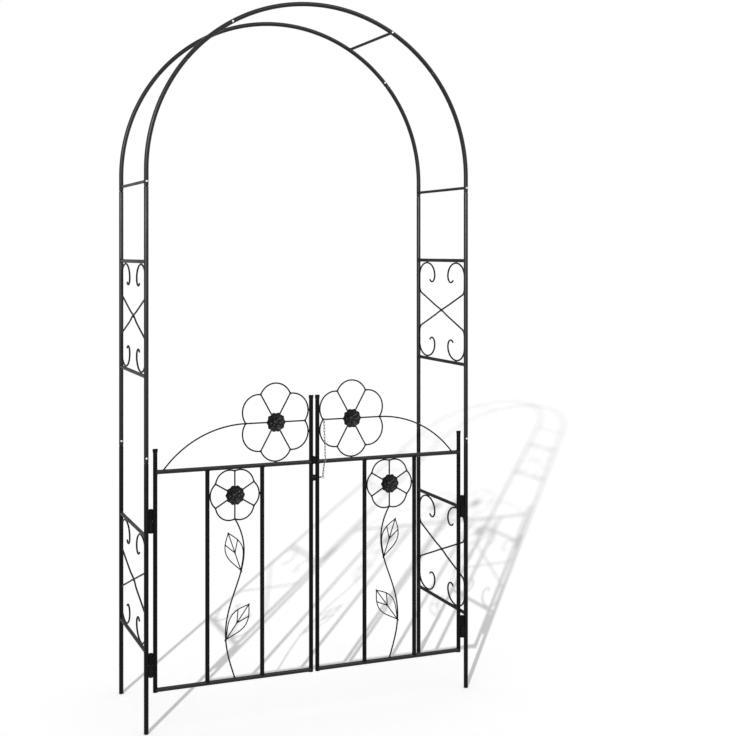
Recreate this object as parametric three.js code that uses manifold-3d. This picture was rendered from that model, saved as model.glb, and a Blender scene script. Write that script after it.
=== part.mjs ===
// Garden arch with a two-leaf gate, in bent steel tube and wire.
// Millimetres, +Z up, X across the arch, Y through it with the gate at the front (-Y).
// The origin is on the ground, in the middle of the four posts.

import * as THREE from 'three';
import { mergeVertices } from 'three/addons/utils/BufferGeometryUtils.js';
import Module from 'manifold-3d';

const wasm = await Module();
wasm.setup();

// Clearances

const seatGap = 0.3; // between two pieces that touch on the real arch
const weldBite = 0.8; // how deep a welded piece runs into its neighbour
const cutOverrun = 2; // how far a cutter runs past the face it opens

// The arch frame

const archWidth = 1125; // left posts to right posts, centre to centre
const archDepth = 396; // front posts to back posts, centre to centre
const bendHeight = 1780; // where the posts start to bend into the round arch
const postRadius = 7.5;
const tubeWall = 1.2;
const footThickness = 2; // the disc that closes the foot of each post
const postJointHeight = 855; // lower post to upper post
const shoulderJointHeight = 1730; // upper post to shoulder
const spigotLength = 40;
const spigotClearance = 0.3;
const swageTaper = 3; // length of the cone between the full tube and the spigot
const crownJointDegrees = 39.9; // shoulder to crown, counted up from the horizontal
const topBarDegrees = 60;
const springBarHeight = 1744;
const crossBarRadius = 5;

// The side panels

const lowerPanelHeight = 258; // height of the lower panel's bottom bar
const upperPanelHeight = 1126; // height of the upper panel's bottom bar
const panelRise = 364; // bottom bar to top bar, centre to centre
const panelBarRadius = 6;
const scrollWireRadius = 3;
const hookWidth = 132; // across one scroll hook, wire centre to wire centre
const hookRise = 46; // from the widest place of a hook to its top
const curlRadius = 24; // the small curl inside each hook
const curlEndDegrees = -40;
const postRunLength = 42; // how far the scroll lies along the post below its hook
const scrollBendRadius = 26; // from the post into the diagonal

// The gate leaves

const stileRadius = 7;
const gateTubeWall = 1.2;
const meetingGap = 8; // between the two meeting stiles
const topRailHeight = 824;
const hingeStileRise = 74; // above the top rail
const meetingStileRise = 222;
const bottomRailHeight = 135;
const railRadius = 7;
const barRadius = 7;
const barOffset = 92; // from the middle of a leaf to each of its two bars
const crimpLength = 16; // the flattened top of each stile
const crimpHalfWidth = 8.5;
const crimpHalfThickness = 2.6;

// The wirework on each leaf

const wireRadius = 2.5;
const wireSetback = 2; // the wires lie this far behind the middle of the tubes
const largeJunction = 101.5; // from a flower's centre to where two petals meet
const largeTip = 122; // from a flower's centre to the tip of a petal
const smallJunction = 74;
const flowerTallShare = 1.05; // both flowers are bent a little taller than wide
const arcFootInset = 29; // from the hinge stile to where the arc wire lands on the rail
const stemSwing = 31;
const stemWavePower = 0.872; // above or below 1, it sets where the stem crosses the middle
const leafLengthShare = 0.254; // of the stem's height
const leafHalfWidthShare = 0.22; // of the leaf's length
const leafWireRadius = 1.8; // the leaves are of a thinner wire than the stem
const leafWavePower = 1.16;
const upperLeafStemShare = 0.33;
const upperLeafLeanDegrees = 19;
const lowerLeafStemShare = 0.754;
const lowerLeafLeanDegrees = -36;
const veinStartShare = 0.48;
const veinEndShare = 0.76;

// The cast rosettes

const rosetteRadius = 33;
const rosetteLobeDepth = 4;
const rosetteDepth = 6.7; // back face to the top of the dome
const rosetteRimDepth = 2.6;
const rosetteMiddleRadius = 22;
const rosetteMiddleDepth = 4.6;
const rosetteDomeRadius = 10;

// The lift-off hinges

const knuckleRadius = 6.7;
const knuckleHeight = 38;
const hingePinRadius = 4;
const hingePinLength = 30;
const hingePinClearance = 0.3;
const knuckleWeldWidth = 3; // the bead between a knuckle and its stile
const lowerHingeRise = 80; // from the bottom rail up to where the two knuckles meet
const leftUpperHingeDrop = 154; // from the top rail down to the same place, hand set on each leaf
const rightUpperHingeDrop = 190;

// The latch

const latchDrop = 53; // below the top rail
const latchPinRadius = 3;
const latchPinClearance = 0.3;
const latchStroke = 7.5; // from parked to locked
const latchTipInset = 0.5; // the parked tip lies this far inside the stile
const latchEyeRadius = 4;
const latchEyeWire = 1;
const latchEyeSlack = 0.8; // between the eye and the link that hangs in it
const keeperRadius = 10;
const keeperBore = 5; // a loose hole, so the pin finds it when the leaves sag
const stopRise = 6; // from the top rail to the middle of the stop bead between the leaves
const stopLength = 26;
const stopHalfDepth = 5;
const chainWire = 1;
const chainHalfWidth = 2.5; // centre of a link to the centre of its wire
const chainLinks = 18;
const chainBite = 0.2; // how deep a link sits on the next one
const chainRingRadius = 7;
const chainFrontGap = 0.5; // between the chain and the front of the top rail

// Facets

const tubeSides = 10;
const boreSides = 8;
const barSides = 8;
const wireSides = 6;
const scrollSides = 5;
const shoulderSteps = 5;
const crownEndSteps = 3;
const crownMiddleSteps = 7;
const petalSteps = 6;
const rosetteLobes = 10;
const rosetteMiddleLobes = 6;
const rosettePointsPerLobe = 3;
const stemSteps = 12;
const leafSteps = 5;
const arcSteps = 7;
const curlSteps = 4;
const hookSteps = 7;
const scrollBendSteps = 2;
const linkSegments = 6;
const linkSides = 4;
const eyeSegments = 8;
const beadSegments = 6;

// Values worked out from the sizes above

const postBore = postRadius - tubeWall;
const spigotRadius = postBore * Math.cos(Math.PI / boreSides) - spigotClearance;
const spigotBore = spigotRadius - tubeWall;
const frontY = -archDepth / 2;
const postX = archWidth / 2;
const hingeX = postX - postRadius - seatGap - knuckleRadius;
const hingeStileX = hingeX - knuckleRadius - stileRadius - seatGap;
const meetingStileX = meetingGap / 2 + stileRadius;
const leafMiddleX = (hingeStileX + meetingStileX) / 2;
const stileFoot = bottomRailHeight - railRadius;
const hingeStileTop = topRailHeight + hingeStileRise;
const meetingStileTop = topRailHeight + meetingStileRise;
const lowerHingeHeight = bottomRailHeight + lowerHingeRise;
const leftUpperHingeHeight = topRailHeight - leftUpperHingeDrop;
const rightUpperHingeHeight = topRailHeight - rightUpperHingeDrop;
const latchHeight = topRailHeight - latchDrop;
const stopHeight = topRailHeight + stopRise;
const stileBore = stileRadius - gateTubeWall;
const railBore = railRadius - gateTubeWall;
const wireY = frontY + wireSetback;
const steel = new THREE.MeshStandardMaterial({ color: 0x1b1b1c, roughness: 0.45, metalness: 0.4 });
const castSteel = new THREE.MeshStandardMaterial({ color: 0x171718, roughness: 0.55, metalness: 0.4 });
const zinc = new THREE.MeshStandardMaterial({ color: 0xb8bbbe, roughness: 0.32, metalness: 0.9 });

const radians = THREE.MathUtils.degToRad;
const alongX = new THREE.Vector3(1, 0, 0);
const alongY = new THREE.Vector3(0, 1, 0);

// Solids and meshes

function solidOf(geometry) {
  const bare = geometry.clone();
  bare.deleteAttribute('normal');
  bare.deleteAttribute('uv');
  const merged = mergeVertices(bare);
  const vertProperties = new Float32Array(merged.attributes.position.array);
  const triVerts = new Uint32Array(merged.index.array);
  return new wasm.Manifold(new wasm.Mesh({ numProp: 3, vertProperties, triVerts }));
}

function geometryOf(solid) {
  const mesh = solid.getMesh();
  const geometry = new THREE.BufferGeometry();
  geometry.setAttribute('position', new THREE.BufferAttribute(new Float32Array(mesh.vertProperties), 3));
  geometry.setIndex(Array.from(mesh.triVerts));
  geometry.computeVertexNormals();
  return geometry;
}

function joined(geometries) {
  return geometries.map(solidOf).reduce((whole, piece) => whole.add(piece));
}

function cut(solid, cutters) {
  return cutters.map(solidOf).reduce((rest, cutter) => rest.subtract(cutter), solid);
}

const arch = new THREE.Group();

function addPiece(name, shape, material = steel) {
  const geometry = shape.isBufferGeometry ? shape : geometryOf(shape);
  const mesh = new THREE.Mesh(geometry, material);
  mesh.name = name;
  arch.add(mesh);
  return mesh;
}

// Sections, and a route that lies in one plane with one ring of facets at each of its points

function polygonPoints(radius, sides) {
  return Array.from({ length: sides }, (_, i) => {
    const angle = (2 * Math.PI * i) / sides;
    return new THREE.Vector2(radius * Math.cos(angle), radius * Math.sin(angle));
  });
}

function roundSection(radius, sides) {
  return new THREE.Shape(polygonPoints(radius, sides));
}

function tubeSection(radius, bore) {
  const section = new THREE.Shape(polygonPoints(radius, tubeSides));
  section.holes.push(new THREE.Path(polygonPoints(bore, boreSides)));
  return section;
}

class Route extends THREE.Curve {
  constructor(points, planeNormal, { startTangent, endTangent, scales } = {}) {
    super();
    this.points = points;
    this.planeNormal = planeNormal;
    this.startTangent = startTangent;
    this.endTangent = endTangent;
    this.scales = scales ?? points.map(() => 1);
  }

  get steps() {
    return this.points.length - 1;
  }

  getPointAt(share, target = new THREE.Vector3()) {
    return target.copy(this.points[Math.round(share * this.steps)]);
  }

  ringTangent(index) {
    if (index === 0 && this.startTangent) return this.startTangent.clone();
    if (index === this.steps && this.endTangent) return this.endTangent.clone();
    const here = this.points[index];
    const back = this.points[Math.max(index - 1, 0)];
    const ahead = this.points[Math.min(index + 1, this.steps)];
    const before = here.clone().sub(back).normalize();
    const after = ahead.clone().sub(here).normalize();
    return before.add(after).normalize();
  }

  computeFrenetFrames(segments) {
    const tangents = Array.from({ length: segments + 1 }, (_, i) => this.ringTangent(i));
    const binormals = this.scales.map((scale) => this.planeNormal.clone().multiplyScalar(scale));
    const normals = tangents.map((tangent, i) => binormals[i].clone().cross(tangent));
    return { tangents, normals, binormals };
  }
}

function sweep(section, route) {
  return new THREE.ExtrudeGeometry(section, {
    steps: route.steps,
    bevelEnabled: false,
    extrudePath: route,
  });
}

function wire(points, planeNormal, radius = wireRadius) {
  return sweep(roundSection(radius, wireSides), new Route(points, planeNormal));
}

// A turned piece that stands along Z; its profile runs up the outside and down the inside

function turned(profile, sides = tubeSides) {
  const points = profile.map(([radius, height]) => new THREE.Vector2(radius, height));
  return new THREE.LatheGeometry(points, sides).rotateX(Math.PI / 2);
}

function pillar(radius, bottom, top, sides = tubeSides) {
  return turned([[0, bottom], [radius, bottom], [radius, top], [0, top]], sides);
}

function pipe(radius, bore, bottom, top) {
  return turned([[bore, bottom], [radius, bottom], [radius, top], [bore, top], [bore, bottom]]);
}

// Points on an arc, in the plane of two axes given by the place function

function arcPoints(place, centre, radii, fromAngle, toAngle, steps) {
  return Array.from({ length: steps + 1 }, (_, i) => {
    const angle = fromAngle + ((toAngle - fromAngle) * i) / steps;
    return place(centre[0] + radii[0] * Math.cos(angle), centre[1] + radii[1] * Math.sin(angle));
  });
}

// Posts: the top of each tube is swaged down to a spigot, and the next tube drops over it, so that
// rain runs past the joint. The lower tube has a closed foot.

function spigotProfile(joint) {
  return [
    [postRadius, joint - swageTaper],
    [spigotRadius, joint],
    [spigotRadius, joint + spigotLength],
    [spigotBore, joint + spigotLength],
    [spigotBore, joint],
    [postBore, joint - swageTaper],
  ];
}

function lowerPost() {
  const foot = [[0, 0], [postRadius, 0]];
  const floor = [[postBore, footThickness], [0, footThickness]];
  return turned([...foot, ...spigotProfile(postJointHeight), ...floor]);
}

function upperPost() {
  const foot = [[postBore, postJointHeight], [postRadius, postJointHeight]];
  return turned([...foot, ...spigotProfile(shoulderJointHeight), foot[0]]);
}

// The bent tubes follow one circle. The crown drops over the swaged ends of the two shoulders.

function archPoint(angle, y) {
  return new THREE.Vector3(postX * Math.cos(angle), y, bendHeight + postX * Math.sin(angle));
}

function archTangent(angle) {
  return new THREE.Vector3(-Math.sin(angle), 0, Math.cos(angle));
}

const crownJoint = radians(crownJointDegrees);
const swageScale = spigotRadius / postRadius;

function crownAngles() {
  const bar = radians(topBarDegrees);
  const ends = Array.from({ length: crownEndSteps }, (_, i) => {
    return crownJoint + ((bar - crownJoint) * i) / crownEndSteps;
  });
  const middle = Array.from({ length: crownMiddleSteps + 1 }, (_, i) => {
    return bar + ((Math.PI - 2 * bar) * i) / crownMiddleSteps;
  });
  return [...ends, ...middle, ...ends.map((angle) => Math.PI - angle).reverse()];
}

function crown(y) {
  const points = crownAngles().map((angle) => archPoint(angle, y));
  const startTangent = archTangent(crownJoint);
  const endTangent = archTangent(Math.PI - crownJoint);
  return sweep(tubeSection(postRadius, postBore), new Route(points, alongY, { startTangent, endTangent }));
}

function shoulder(side, y) {
  const mirror = new THREE.Vector3(side, 1, 1);
  const lastFull = crownJoint - swageTaper / postX;
  const bend = Array.from({ length: shoulderSteps + 1 }, (_, i) => archPoint((lastFull * i) / shoulderSteps, y));
  const [joint, next] = crownAngles().slice(0, 2).map((angle) => archPoint(angle, y));
  const tip = joint.clone().add(next.sub(joint).setLength(spigotLength));
  const points = [new THREE.Vector3(postX, y, shoulderJointHeight), ...bend, joint, tip];
  const scales = points.map((_, i) => (i < points.length - 2 ? 1 : swageScale));
  const route = new Route(points.map((point) => point.multiply(mirror)), alongY, { scales });
  return sweep(tubeSection(postRadius, postBore), route);
}

for (const [side, sideName] of [[-1, 'left'], [1, 'right']]) {
  for (const [face, faceName] of [[-1, 'front'], [1, 'back']]) {
    const y = (face * archDepth) / 2;
    const corner = `${faceName}_${sideName}`;
    addPiece(`${corner}_lower_post`, lowerPost()).position.set(side * postX, y, 0);
    addPiece(`${corner}_upper_post`, upperPost()).position.set(side * postX, y, 0);
    addPiece(`${corner}_shoulder`, shoulder(side, y));
  }
}
addPiece('front_crown', crown(frontY));
addPiece('back_crown', crown(-frontY));

// Bars from the front arch to the back arch, their ends cut to the round of the tube they meet

function depthBar(radius, x, z, cutters) {
  const ends = [new THREE.Vector3(x, frontY, z), new THREE.Vector3(x, -frontY, z)];
  const bar = sweep(roundSection(radius, barSides), new Route(ends, alongX));
  return cut(solidOf(bar), cutters);
}

function postCutters(x, z, reach) {
  return [frontY, -frontY].map((y) => {
    return pillar(postRadius + seatGap, z - reach, z + reach).translate(x, y, 0);
  });
}

function bentTubeCutters(place) {
  return [frontY, -frontY].map((y) => {
    return sweep(roundSection(postRadius + seatGap, tubeSides), new Route(place(y), alongY));
  });
}

for (const [side, sideName] of [[-1, 'left'], [1, 'right']]) {
  const x = side * postX;
  const shoulderCutters = bentTubeCutters((y) => {
    return [shoulderJointHeight, bendHeight].map((z) => new THREE.Vector3(x, y, z));
  });
  addPiece(`${sideName}_spring_bar`, depthBar(crossBarRadius, x, springBarHeight, shoulderCutters));
  const onArch = archPoint(radians(topBarDegrees), 0);
  const crownCutters = bentTubeCutters((y) => crownAngles().map((angle) => archPoint(angle, y)));
  addPiece(`${sideName}_top_bar`, depthBar(crossBarRadius, side * onArch.x, onArch.z, crownCutters));
}

// Side panels: two bars and a pair of scroll wires that cross in the middle

const scrollTop = panelRise / 2 - panelBarRadius - seatGap - scrollWireRadius;
const scrollSide = archDepth / 2 - postRadius - seatGap - scrollWireRadius;

function halfScroll() {
  const place = (across, up) => new THREE.Vector2(across, up);
  const hookMiddle = [scrollSide - hookWidth / 2, scrollTop - hookRise];
  const curlMiddle = [scrollSide - hookWidth + curlRadius, hookMiddle[1]];
  const curlStart = radians(curlEndDegrees);
  const runEnd = hookMiddle[1] - postRunLength;
  const diagonalAngle = Math.atan2(runEnd - scrollBendRadius, scrollSide);
  const bendMiddle = [scrollSide - scrollBendRadius, runEnd];
  const bendRadii = [scrollBendRadius, scrollBendRadius];
  return [
    ...arcPoints(place, curlMiddle, [curlRadius, curlRadius], curlStart, -Math.PI, curlSteps),
    ...arcPoints(place, hookMiddle, [hookWidth / 2, hookRise], Math.PI, 0, hookSteps).slice(1),
    ...arcPoints(place, bendMiddle, bendRadii, 0, diagonalAngle - Math.PI / 2, scrollBendSteps),
  ];
}

function scrollPair(x, middleHeight) {
  const half = halfScroll();
  const turnedHalf = half.map((point) => point.clone().negate()).reverse();
  const outline = [...half, ...turnedHalf];
  const wires = [1, -1].map((face) => {
    const points = outline.map((point) => new THREE.Vector3(x, face * point.x, middleHeight + point.y));
    return sweep(roundSection(scrollWireRadius, scrollSides), new Route(points, alongX));
  });
  return joined(wires);
}

for (const [side, sideName] of [[-1, 'left'], [1, 'right']]) {
  for (const [bottom, levelName] of [[lowerPanelHeight, 'lower'], [upperPanelHeight, 'upper']]) {
    const x = side * postX;
    const panel = `${sideName}_${levelName}_panel`;
    for (const [z, barName] of [[bottom, 'bottom_bar'], [bottom + panelRise, 'top_bar']]) {
      const cutters = postCutters(x, z, panelBarRadius + cutOverrun);
      addPiece(`${panel}_${barName}`, depthBar(panelBarRadius, x, z, cutters));
    }
    addPiece(`${panel}_scrolls`, scrollPair(x, bottom + panelRise / 2));
  }
}

// Lift-off hinges: the post carries a knuckle with a standing pin, the leaf drops its knuckle on it

function postHinge() {
  return turned([
    [0, -knuckleHeight],
    [knuckleRadius, -knuckleHeight],
    [knuckleRadius, 0],
    [hingePinRadius, 0],
    [hingePinRadius, hingePinLength],
    [0, hingePinLength],
  ]);
}

function gateKnuckle(height) {
  const bore = hingePinRadius + hingePinClearance;
  const bottom = height + seatGap;
  const top = height + knuckleHeight;
  const weldLength = seatGap + 2 * weldBite;
  const weld = new THREE.BoxGeometry(weldLength, knuckleWeldWidth, top - bottom);
  weld.translate(knuckleRadius + seatGap / 2, 0, (top + bottom) / 2);
  return [pipe(knuckleRadius, bore, bottom, top), weld];
}

function hingeHeights(side) {
  return [lowerHingeHeight, side < 0 ? leftUpperHingeHeight : rightUpperHingeHeight];
}

for (const [side, sideName] of [[-1, 'left'], [1, 'right']]) {
  hingeHeights(side).forEach((height, i) => {
    const levelName = i === 0 ? 'lower' : 'upper';
    const hinge = addPiece(`${sideName}_${levelName}_post_hinge`, postHinge());
    hinge.position.set(side * hingeX, frontY, height);
  });
}

// Stiles: open at the foot, with the top of the tube hammered flat

function stile(top) {
  const crimpFoot = top - crimpLength;
  const neck = top - crimpLength / 2;
  const tube = turned([
    [stileBore, stileFoot],
    [stileRadius, stileFoot],
    [stileRadius, crimpFoot],
    [stileRadius, neck],
    [stileRadius, top],
    [0, top],
    [0, crimpFoot],
    [stileBore, crimpFoot],
    [stileBore, stileFoot],
  ]);
  return flattened(tube, crimpFoot, neck);
}

function flattened(tube, from, to) {
  const places = tube.attributes.position;
  for (let i = 0; i < places.count; i += 1) {
    const share = THREE.MathUtils.clamp((places.getZ(i) - from) / (to - from), 0, 1);
    const wider = THREE.MathUtils.lerp(1, crimpHalfWidth / stileRadius, share);
    const thinner = THREE.MathUtils.lerp(1, crimpHalfThickness / stileRadius, share);
    places.setX(i, places.getX(i) * wider);
    places.setY(i, places.getY(i) * thinner);
  }
  return tube;
}

function hingeStile(side) {
  const tube = stile(hingeStileTop).translate(side * hingeStileX, frontY, 0);
  const knuckles = hingeHeights(side).flatMap(gateKnuckle);
  const turnToStile = side > 0 ? Math.PI : 0;
  const placed = knuckles.map((piece) => piece.rotateZ(turnToStile).translate(side * hingeX, frontY, 0));
  return joined([tube, ...placed]);
}

// Rails and bars: tubes cut to the round of the stile or rail they meet

function stileCutters(side) {
  return [hingeStileX, meetingStileX].map((x) => {
    const radius = stileRadius + seatGap;
    return pillar(radius, stileFoot - cutOverrun, hingeStileTop).translate(side * x, frontY, 0);
  });
}

function rail(side, z) {
  const ends = [meetingStileX, hingeStileX].map((x) => new THREE.Vector3(side * x, frontY, z));
  const tube = sweep(tubeSection(railRadius, railBore), new Route(ends, alongY));
  return cut(solidOf(tube), stileCutters(side));
}

function railCutter(side, z) {
  const ends = [meetingStileX, hingeStileX].map((x) => new THREE.Vector3(side * x, frontY, z));
  return sweep(roundSection(railRadius + seatGap, tubeSides), new Route(ends, alongY));
}

function uprightBar(side, x) {
  const tube = pipe(barRadius, barRadius - gateTubeWall, bottomRailHeight, topRailHeight);
  const placed = tube.translate(side * x, frontY, 0);
  return cut(solidOf(placed), [railCutter(side, bottomRailHeight), railCutter(side, topRailHeight)]);
}

// Flowers: six round petals of wire, met by three wires through the middle

const petalCount = 6;
const halfPetal = Math.PI / petalCount;

function petalForm(junction, tip) {
  const chordDistance = junction * Math.cos(halfPetal);
  const halfChord = junction * Math.sin(halfPetal);
  const rise = tip - chordDistance;
  const radius = (halfChord ** 2 + rise ** 2) / (2 * rise);
  const offset = tip - radius;
  return { radius, offset, sweepAngle: Math.atan2(halfChord, chordDistance - offset) };
}

const largePetal = petalForm(largeJunction, largeTip);
const smallTip = barOffset - barRadius - seatGap - wireRadius;
const smallPetal = petalForm(smallJunction, smallTip);
const largeReach = largePetal.offset * Math.cos(halfPetal) + largePetal.radius;
const smallReach = flowerTallShare * (smallPetal.offset * Math.cos(halfPetal) + smallPetal.radius);

const largeFlower = {
  x: meetingStileX + stileRadius + seatGap + wireRadius + largeReach,
  z: topRailHeight + railRadius + seatGap + wireRadius + flowerTallShare * largeTip,
  junction: largeJunction,
  petal: largePetal,
  firstPetal: halfPetal,
};

const smallFlower = {
  x: leafMiddleX,
  z: topRailHeight - railRadius - seatGap - wireRadius - smallReach,
  junction: smallJunction,
  petal: smallPetal,
  firstPetal: 0,
};

function flowerWires(side, flower, radius) {
  const place = (x, z) => new THREE.Vector3(side * flower.x + x, wireY, flower.z + flowerTallShare * z);
  const wires = [];
  for (let i = 0; i < petalCount; i += 1) {
    const middle = flower.firstPetal + 2 * halfPetal * i;
    const { offset, radius: bend, sweepAngle } = flower.petal;
    const centre = [offset * Math.cos(middle), offset * Math.sin(middle)];
    const radii = [bend, bend];
    const from = middle - sweepAngle - weldBite / bend;
    const to = middle + sweepAngle + weldBite / bend;
    wires.push(wire(arcPoints(place, centre, radii, from, to, petalSteps), alongY, radius));
  }
  for (let i = 0; i < petalCount / 2; i += 1) {
    const angle = flower.firstPetal + halfPetal + 2 * halfPetal * i;
    const reach = flower.junction + weldBite;
    const across = [Math.PI + angle, angle].map((end) => place(reach * Math.cos(end), reach * Math.sin(end)));
    wires.push(wire(across, alongY, radius));
  }
  return wires;
}

// The arc wire leaves the large flower level and bends down onto the top rail

function arcWire(side) {
  const startX = largeFlower.x + largeJunction;
  const footX = hingeStileX - arcFootInset;
  const run = footX - startX;
  const drop = largeFlower.z - topRailHeight - railRadius;
  const radius = (run ** 2 + drop ** 2) / (2 * drop);
  const endAngle = Math.acos((radius - drop - railRadius) / radius);
  const place = (x, z) => new THREE.Vector3(side * x, wireY, z);
  const centre = [startX, largeFlower.z - radius];
  const points = arcPoints(place, centre, [radius, radius], Math.PI / 2, Math.PI / 2 - endAngle, arcSteps);
  const cutters = [railCutter(side, topRailHeight), ...flowerWires(side, largeFlower, wireRadius + seatGap)];
  return cut(solidOf(wire(points, alongY)), cutters);
}

// The stem swings once to each side below the small flower, and carries two veined leaves

const stemTop = smallFlower.z - flowerTallShare * smallJunction;
const leafLength = leafLengthShare * (stemTop - bottomRailHeight);
const leafHalfWidth = leafHalfWidthShare * leafLength;

function stemPoint(share) {
  const swing = Math.sin(2 * Math.PI * share ** stemWavePower) * stemSwing;
  return new THREE.Vector2(leafMiddleX - swing, THREE.MathUtils.lerp(stemTop, bottomRailHeight, share));
}

function leafWires(side, stemShare, leanDegrees) {
  const base = stemPoint(stemShare);
  const lean = radians(leanDegrees);
  const along = new THREE.Vector2(Math.sin(lean), Math.cos(lean));
  const across = new THREE.Vector2(Math.cos(lean), -Math.sin(lean));
  const place = (share, offset) => {
    const point = base.clone().addScaledVector(along, share * leafLength).addScaledVector(across, offset);
    return new THREE.Vector3(side * point.x, wireY, point.y);
  };
  const edgeOffset = (share) => leafHalfWidth * Math.sin(Math.PI * share ** leafWavePower);
  const runOut = weldBite / leafLength;
  const wires = [wire([place(-runOut, 0), place(1 + runOut, 0)], alongY, leafWireRadius)];
  for (const face of [-1, 1]) {
    const edge = Array.from({ length: leafSteps + 1 }, (_, i) => {
      const share = i / leafSteps;
      return place(share, face * edgeOffset(share));
    });
    const vein = [place(veinStartShare, 0), place(veinEndShare, face * edgeOffset(veinEndShare))];
    wires.push(wire(edge, alongY, leafWireRadius), wire(vein, alongY, leafWireRadius));
  }
  return wires;
}

function stem(side) {
  const points = Array.from({ length: stemSteps + 1 }, (_, i) => {
    const point = stemPoint(i / stemSteps);
    return new THREE.Vector3(side * point.x, wireY, point.y);
  });
  const wires = [
    wire(points, alongY),
    ...leafWires(side, upperLeafStemShare, upperLeafLeanDegrees),
    ...leafWires(side, lowerLeafStemShare, lowerLeafLeanDegrees),
  ];
  const cutters = [railCutter(side, bottomRailHeight), ...flowerWires(side, smallFlower, wireRadius + seatGap)];
  return cut(joined(wires), cutters);
}

// Rosettes: two lobed layers and a dome, cast in one piece, on the front of the wires. The small
// flowers' castings are welded to their wires all round, so they are one piece with them.

function lobedLayer(radius, depth, lobes) {
  const count = lobes * rosettePointsPerLobe;
  const points = Array.from({ length: count }, (_, i) => {
    const angle = (2 * Math.PI * i) / count;
    const lobe = Math.abs(Math.sin((lobes * angle) / 2));
    const reach = radius - rosetteLobeDepth * (1 - lobe);
    return new THREE.Vector2(reach * Math.cos(angle), reach * Math.sin(angle));
  });
  const layer = new THREE.ExtrudeGeometry(new THREE.Shape(points), { depth, bevelEnabled: false });
  return layer.rotateX(Math.PI / 2);
}

function rosette(side, flower, bite) {
  const dome = turned([
    [0, 0],
    [rosetteDomeRadius, 0],
    [rosetteDomeRadius, (rosetteRimDepth + rosetteMiddleDepth) / 2],
    [rosetteDomeRadius * Math.SQRT1_2, (rosetteMiddleDepth + rosetteDepth) / 2],
    [0, rosetteDepth],
  ], barSides).rotateX(Math.PI / 2);
  const casting = geometryOf(joined([
    lobedLayer(rosetteRadius, rosetteRimDepth, rosetteLobes),
    lobedLayer(rosetteMiddleRadius, rosetteMiddleDepth, rosetteMiddleLobes),
    dome,
  ]));
  return casting.translate(side * flower.x, wireY - wireRadius + bite, flower.z);
}

// The latch: a keeper and a stop bead saddle the left meeting stile, and a pin runs through the right

const rightStileFace = meetingStileX + stileRadius;
const gapFace = meetingGap / 2 - seatGap;
const latchEyeX = rightStileFace + seatGap + latchStroke + latchEyeRadius + latchEyeWire;

function acrossBar(radius, fromX, toX, sides) {
  const ends = [new THREE.Vector3(fromX, frontY, latchHeight), new THREE.Vector3(toX, frontY, latchHeight)];
  return sweep(roundSection(radius, sides), new Route(ends, alongY));
}

function meetingStile(side) {
  const tube = stile(meetingStileTop).translate(side * meetingStileX, frontY, 0);
  if (side < 0) return tube;
  const bore = latchPinRadius + latchPinClearance;
  return cut(solidOf(tube), [acrossBar(bore, meetingGap / 2 - cutOverrun, rightStileFace + cutOverrun, boreSides)]);
}

function leftStileCutter(middle, length) {
  const reach = length / 2 + cutOverrun;
  return pillar(stileRadius + seatGap, middle - reach, middle + reach).translate(-meetingStileX, frontY, 0);
}

function keeper() {
  const sleeve = acrossBar(keeperRadius, -meetingStileX, gapFace, tubeSides);
  const socket = acrossBar(keeperBore, -meetingStileX, gapFace + cutOverrun, boreSides);
  return cut(solidOf(sleeve), [socket, leftStileCutter(latchHeight, 2 * keeperRadius)]);
}

function stopBead() {
  const left = -meetingStileX;
  const half = (gapFace - left) / 2;
  const low = stopHeight - stopLength / 2;
  const shoulderHeight = stopHeight + stopLength / 2 - half;
  const outline = new THREE.Shape([new THREE.Vector2(left, low), new THREE.Vector2(gapFace, low)]);
  outline.absarc(left + half, shoulderHeight, half, 0, Math.PI, false);
  const depth = 2 * stopHalfDepth;
  const bead = new THREE.ExtrudeGeometry(outline, { depth, bevelEnabled: false, curveSegments: beadSegments });
  bead.rotateX(Math.PI / 2).translate(0, frontY + stopHalfDepth, 0);
  return cut(solidOf(bead), [leftStileCutter(stopHeight, stopLength)]);
}

function latchPin() {
  const eye = new THREE.TorusGeometry(latchEyeRadius, latchEyeWire, wireSides, eyeSegments);
  eye.rotateX(Math.PI / 2).translate(latchEyeX, frontY, latchHeight);
  const tip = meetingGap / 2 + latchTipInset;
  const shank = acrossBar(latchPinRadius, tip, latchEyeX - latchEyeRadius, boreSides);
  return joined([shank, eye]);
}

// The chain: a ring round the flower's wire, then links turned a quarter from one to the next

function chainLink(top, bottom, isTurned) {
  const direction = bottom.clone().sub(top);
  const straight = direction.length() + 2 * (chainWire - chainHalfWidth) - chainBite;
  const link = new THREE.TorusGeometry(chainHalfWidth, chainWire, linkSides, linkSegments);
  link.rotateZ(Math.PI / 2);
  const places = link.attributes.position;
  for (let i = 0; i < places.count; i += 1) {
    places.setY(i, places.getY(i) + (Math.sign(places.getY(i)) * straight) / 2);
  }
  if (isTurned) link.rotateY(Math.PI / 2);
  const lean = new THREE.Quaternion().setFromUnitVectors(alongY, direction.negate().normalize());
  const middle = top.clone().add(bottom).divideScalar(2);
  return link.applyQuaternion(lean).translate(middle.x, middle.y, middle.z);
}

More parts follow.
